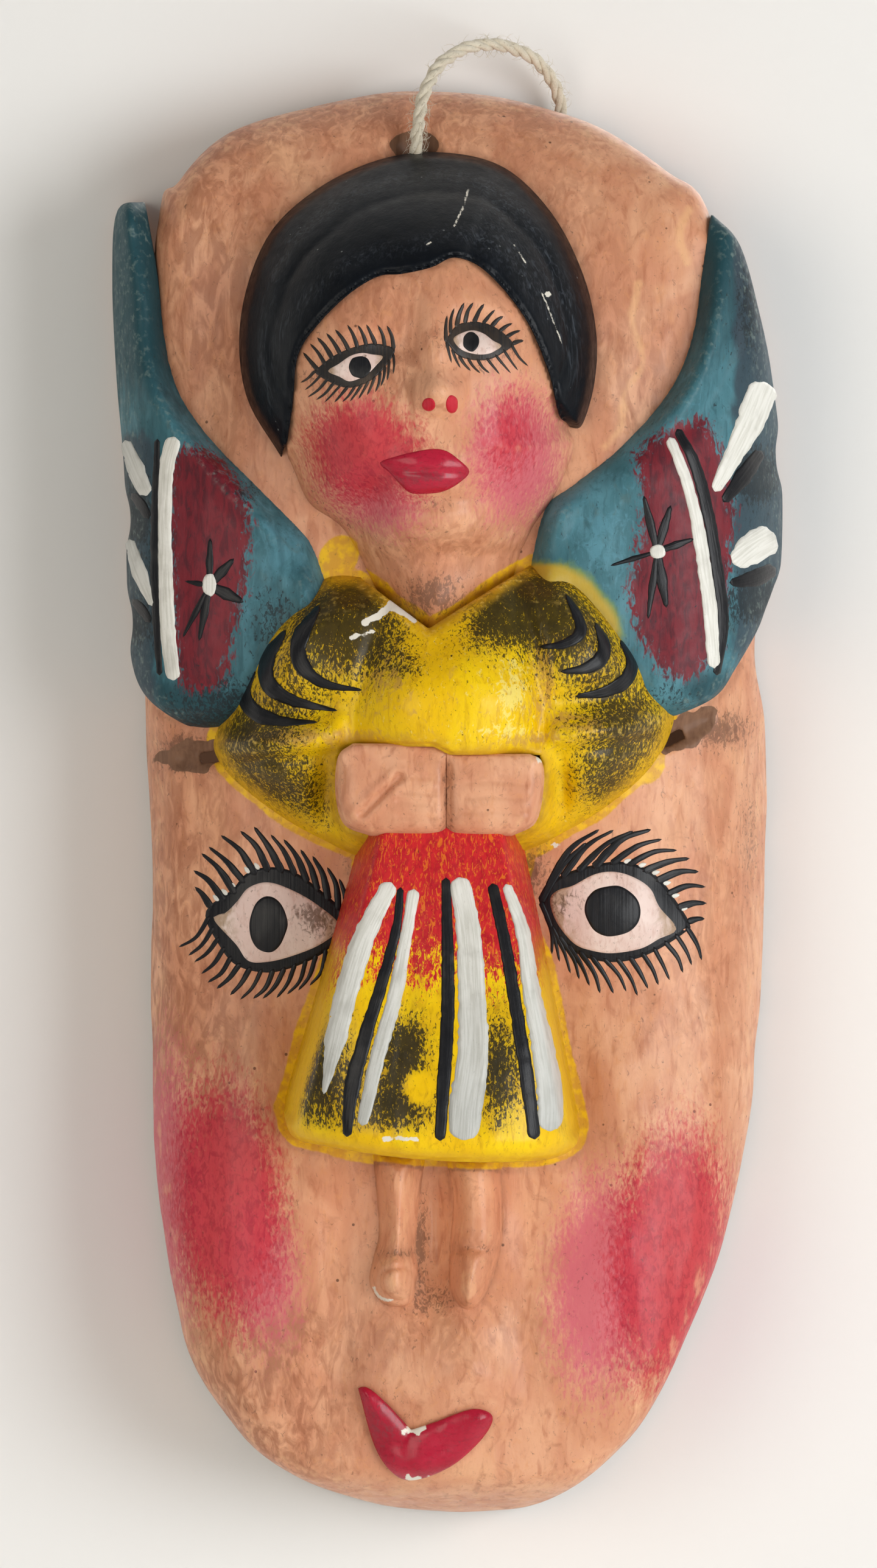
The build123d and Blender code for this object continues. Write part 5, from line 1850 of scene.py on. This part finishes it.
def paint_mouth():
    """Nostrils and lips of the figure, painted rather than carved."""
    head = front_of("figure_head")
    nostrils = [patch(head, oval_outline((-4.6, 112.1), (1.9, 1.9), 241), 0.2, 12),
                patch(head, oval_outline((2.0, 112.2), (1.7, 2.6), 242), 0.2, 12)]
    painted_piece("figure_nostrils", nostrils, nostril_red)
    outline = [(-18.4, 95.6), (-14, 97.4), (-8, 98.9), (-3, 99.6), (0.4, 99.0), (3.4, 97.0), (6.9, 93.4),
               (4.6, 90.4), (0, 87.7), (-5, 86.9), (-9.6, 87.1), (-12.5, 89.4), (-15.5, 92.8)]

    def shade(x, z, part):
        return {"gesso": 0 * x + 9, "grime": 0 * x, "dusky": 0.9 * bump(x, z, (-6, 91.8), (7, 2))}

    painted_piece("figure_lips", [patch(head, outline, 0.3, 30, shade)], lip_coat)


def paint_skirt_stripes():
    skirt = front_of("skirt")
    whites = [
        ([(-15.2, -22.9), (-23.1, -39.1), (-28.7, -57.7), (-32.4, -74.4), (-34.2, -82.7)],
         [4.6, 6.2, 6.6, 6.2, 1.0]),
        ([(-8.7, -24.8), (-11.1, -39.1), (-14.3, -55.9), (-19, -72.5), (-23.4, -91.6)],
         [3.2, 3.6, 4.4, 4.2, 3.2]),
        ([(3.8, -21.5), (6.5, -35.4), (7.5, -52.1), (8, -70.7), (6.1, -84.6), (5.2, -95.7)],
         [5.6, 7.0, 7.6, 8.4, 9.2, 9.0]),
        ([(17.2, -23.4), (21.9, -36.4), (24.2, -52.1), (27.9, -70.7), (29.7, -84.6), (29.6, -93.2)],
         [2.8, 4.0, 4.8, 6.0, 7.2, 6.6]),
    ]
    blacks = [
        ([(-12.5, -24.3), (-13.8, -36.4), (-18, -52.1), (-23.1, -68.8), (-26.4, -81.8), (-27.7, -94.8)],
         [2.0, 2.8, 3.4, 4.0, 4.6, 2.6]),
        ([(0.3, -21.6), (0.8, -42.9), (0.8, -61.4), (-0.4, -80), (-1.4, -95.9)], [2.6, 3.4, 3.8, 3.8, 3.2]),
        ([(13.4, -23.2), (17.0, -40.1), (20.0, -57.7), (22.9, -76.3), (25.4, -95.5)],
         [3.2, 3.4, 3.6, 4.0, 3.6]),
    ]
    painted_piece("skirt_black_stripes", strokes(skirt, blacks, 40, 0.3), black_paint)
    faded = strokes(skirt, whites, 50, 0.42, (0.0, 0.42))
    painted_piece("skirt_white_stripes", faded, white_paint)


def flower(surface, centre, tips, widths, seed):
    """Black petals pulled out from a middle."""
    petals = [([centre, (np.array(centre) + np.array(tip)) / 2, tip], [width * 0.6, width, width * 0.35])
              for tip, width in zip(tips, widths)]
    return strokes(surface, petals, seed, 0.24)


def paint_wing_marks():
    left, right = front_of("left_wing"), front_of("right_wing")
    dark = [
        stroke(left, [(-81.2, 102.4), (-81.9, 79.6), (-81.8, 58.6), (-80.6, 35.6)],
               [1.6, 2.4, 2.6, 1.6], 61, 0.2),
        stroke(left, [(-88.5, 87), (-85.5, 83.5), (-83.6, 79.8)], [2.0, 3.2, 2.2], 62, 0.16),
        stroke(left, [(-88.3, 57), (-85.4, 54.0), (-83.2, 50.5)], [1.8, 3.0, 1.8], 63, 0.16),
    ]
    tips = [(-66.3, 74.3), (-59.6, 68.6), (-56.9, 56.3), (-69.4, 45.4), (-74.0, 46.4), (-73.4, 62.2)]
    dark += flower(left, (-66.5, 61.0), tips, [2.3, 3.0, 3.6, 2.4, 1.8, 1.6], 64)
    painted_piece("left_wing_black_marks", dark, black_paint)
    pale = [
        stroke(left, [(-76.4, 103), (-78.6, 94.3), (-79.2, 79.6), (-78.9, 63.9), (-78.3, 48.2),
                      (-76.6, 34.2)],
               [4.6, 4.2, 4.0, 4.2, 4.4, 4.0], 71, 0.4),
        stroke(left, [(-90.4, 102), (-87.6, 94.5), (-84.2, 86.4)], [2.6, 5.4, 3.8], 72, 0.22, (0.35, 0.15)),
        stroke(left, [(-89.2, 74), (-86.4, 65), (-82.6, 55.2)], [2.6, 4.6, 1.6], 73, 0.22, (0.35, 0.1)),
        patch(left, oval_outline((-66.5, 61.2), (2.0, 3.3), 243), 0.45, 14),
    ]
    painted_piece("left_wing_white_marks", pale, white_paint)
    dark = [
        stroke(right, [(65.6, 105.2), (70.6, 95.2), (74.4, 81), (77.0, 64.8), (78.6, 50.6), (76.8, 35.6)],
               [2.4, 3.4, 3.4, 3.4, 3.2, 2.2], 81, 0.2),
        stroke(right, [(89.5, 99), (84, 91.5), (78.6, 84.6)], [3.4, 5.0, 2.4], 82, 0.14),
        stroke(right, [(93.4, 66), (87.6, 63.0), (80.4, 61.8)], [4.4, 4.8, 2.0], 83, 0.14),
    ]
    tips = [(56.2, 86.3), (63.8, 83.6), (70.4, 74.2), (62.6, 54.8), (57.4, 51.6), (46.8, 66.6)]
    dark += flower(right, (59.9, 70.6), tips, [2.6, 2.8, 2.4, 3.4, 2.2, 1.6], 84)
    painted_piece("right_wing_black_marks", dark, black_paint)
    pale = [
        stroke(right, [(63.4, 102.8), (67.4, 93.1), (70.7, 81.2), (72.8, 69.2), (74.7, 56), (76.3, 37.6)],
               [2.8, 3.2, 3.6, 4.0, 4.2, 3.8], 91, 0.4),
        stroke(right, [(90.6, 118.4), (86.2, 107), (80.8, 96.4), (76.2, 87.6)],
               [9.0, 8.0, 5.4, 3.0], 92, 0.26),
        stroke(right, [(93.2, 75.4), (87.4, 71.8), (81.4, 67.2)], [9.6, 9.0, 5.4], 93, 0.26),
        patch(right, oval_outline((60.1, 70.6), (2.3, 2.1), 244), 0.45, 14),
    ]
    painted_piece("right_wing_white_marks", pale, white_paint)


def paint_sleeve_arcs():
    arcs = [
        ([(-35.4, 55.4), (-41.0, 46), (-40.4, 38.6), (-34.0, 33.2), (-23.4, 31.4)],
         [1.2, 4.6, 4.4, 2.4, 0.7]),
        ([(-45.0, 48.4), (-50.2, 40), (-49.6, 33), (-43.0, 28.4), (-30.4, 25.6)], [1.2, 4.4, 4.6, 2.6, 0.7]),
        ([(-53.8, 37.4), (-56.6, 31), (-54.4, 25.8), (-47, 22.8), (-36.0, 22.4)], [1.2, 4.2, 4.4, 2.4, 0.7]),
        ([(34.2, 58.6), (38.0, 51.4), (37.8, 47), (33.6, 44.4), (26.8, 43.6)], [0.8, 2.8, 3.4, 2.4, 0.9]),
        ([(42.6, 50.6), (45.0, 44.4), (43.8, 40), (39.4, 37.4), (32.8, 36.6)], [0.9, 3.4, 4.2, 2.8, 0.9]),
        ([(49.6, 45.6), (52.8, 39.6), (51.2, 34.4), (45.6, 31.0), (37.0, 29.6)], [0.9, 3.4, 4.2, 2.8, 1.0]),
    ]
    painted_piece("sleeve_black_arcs", strokes(garment_surface, arcs, 95, 0.22), black_paint)


paint_big_eyes()
paint_small_eyes()
paint_mouth()
paint_skirt_stripes()
paint_wing_marks()
paint_sleeve_arcs()
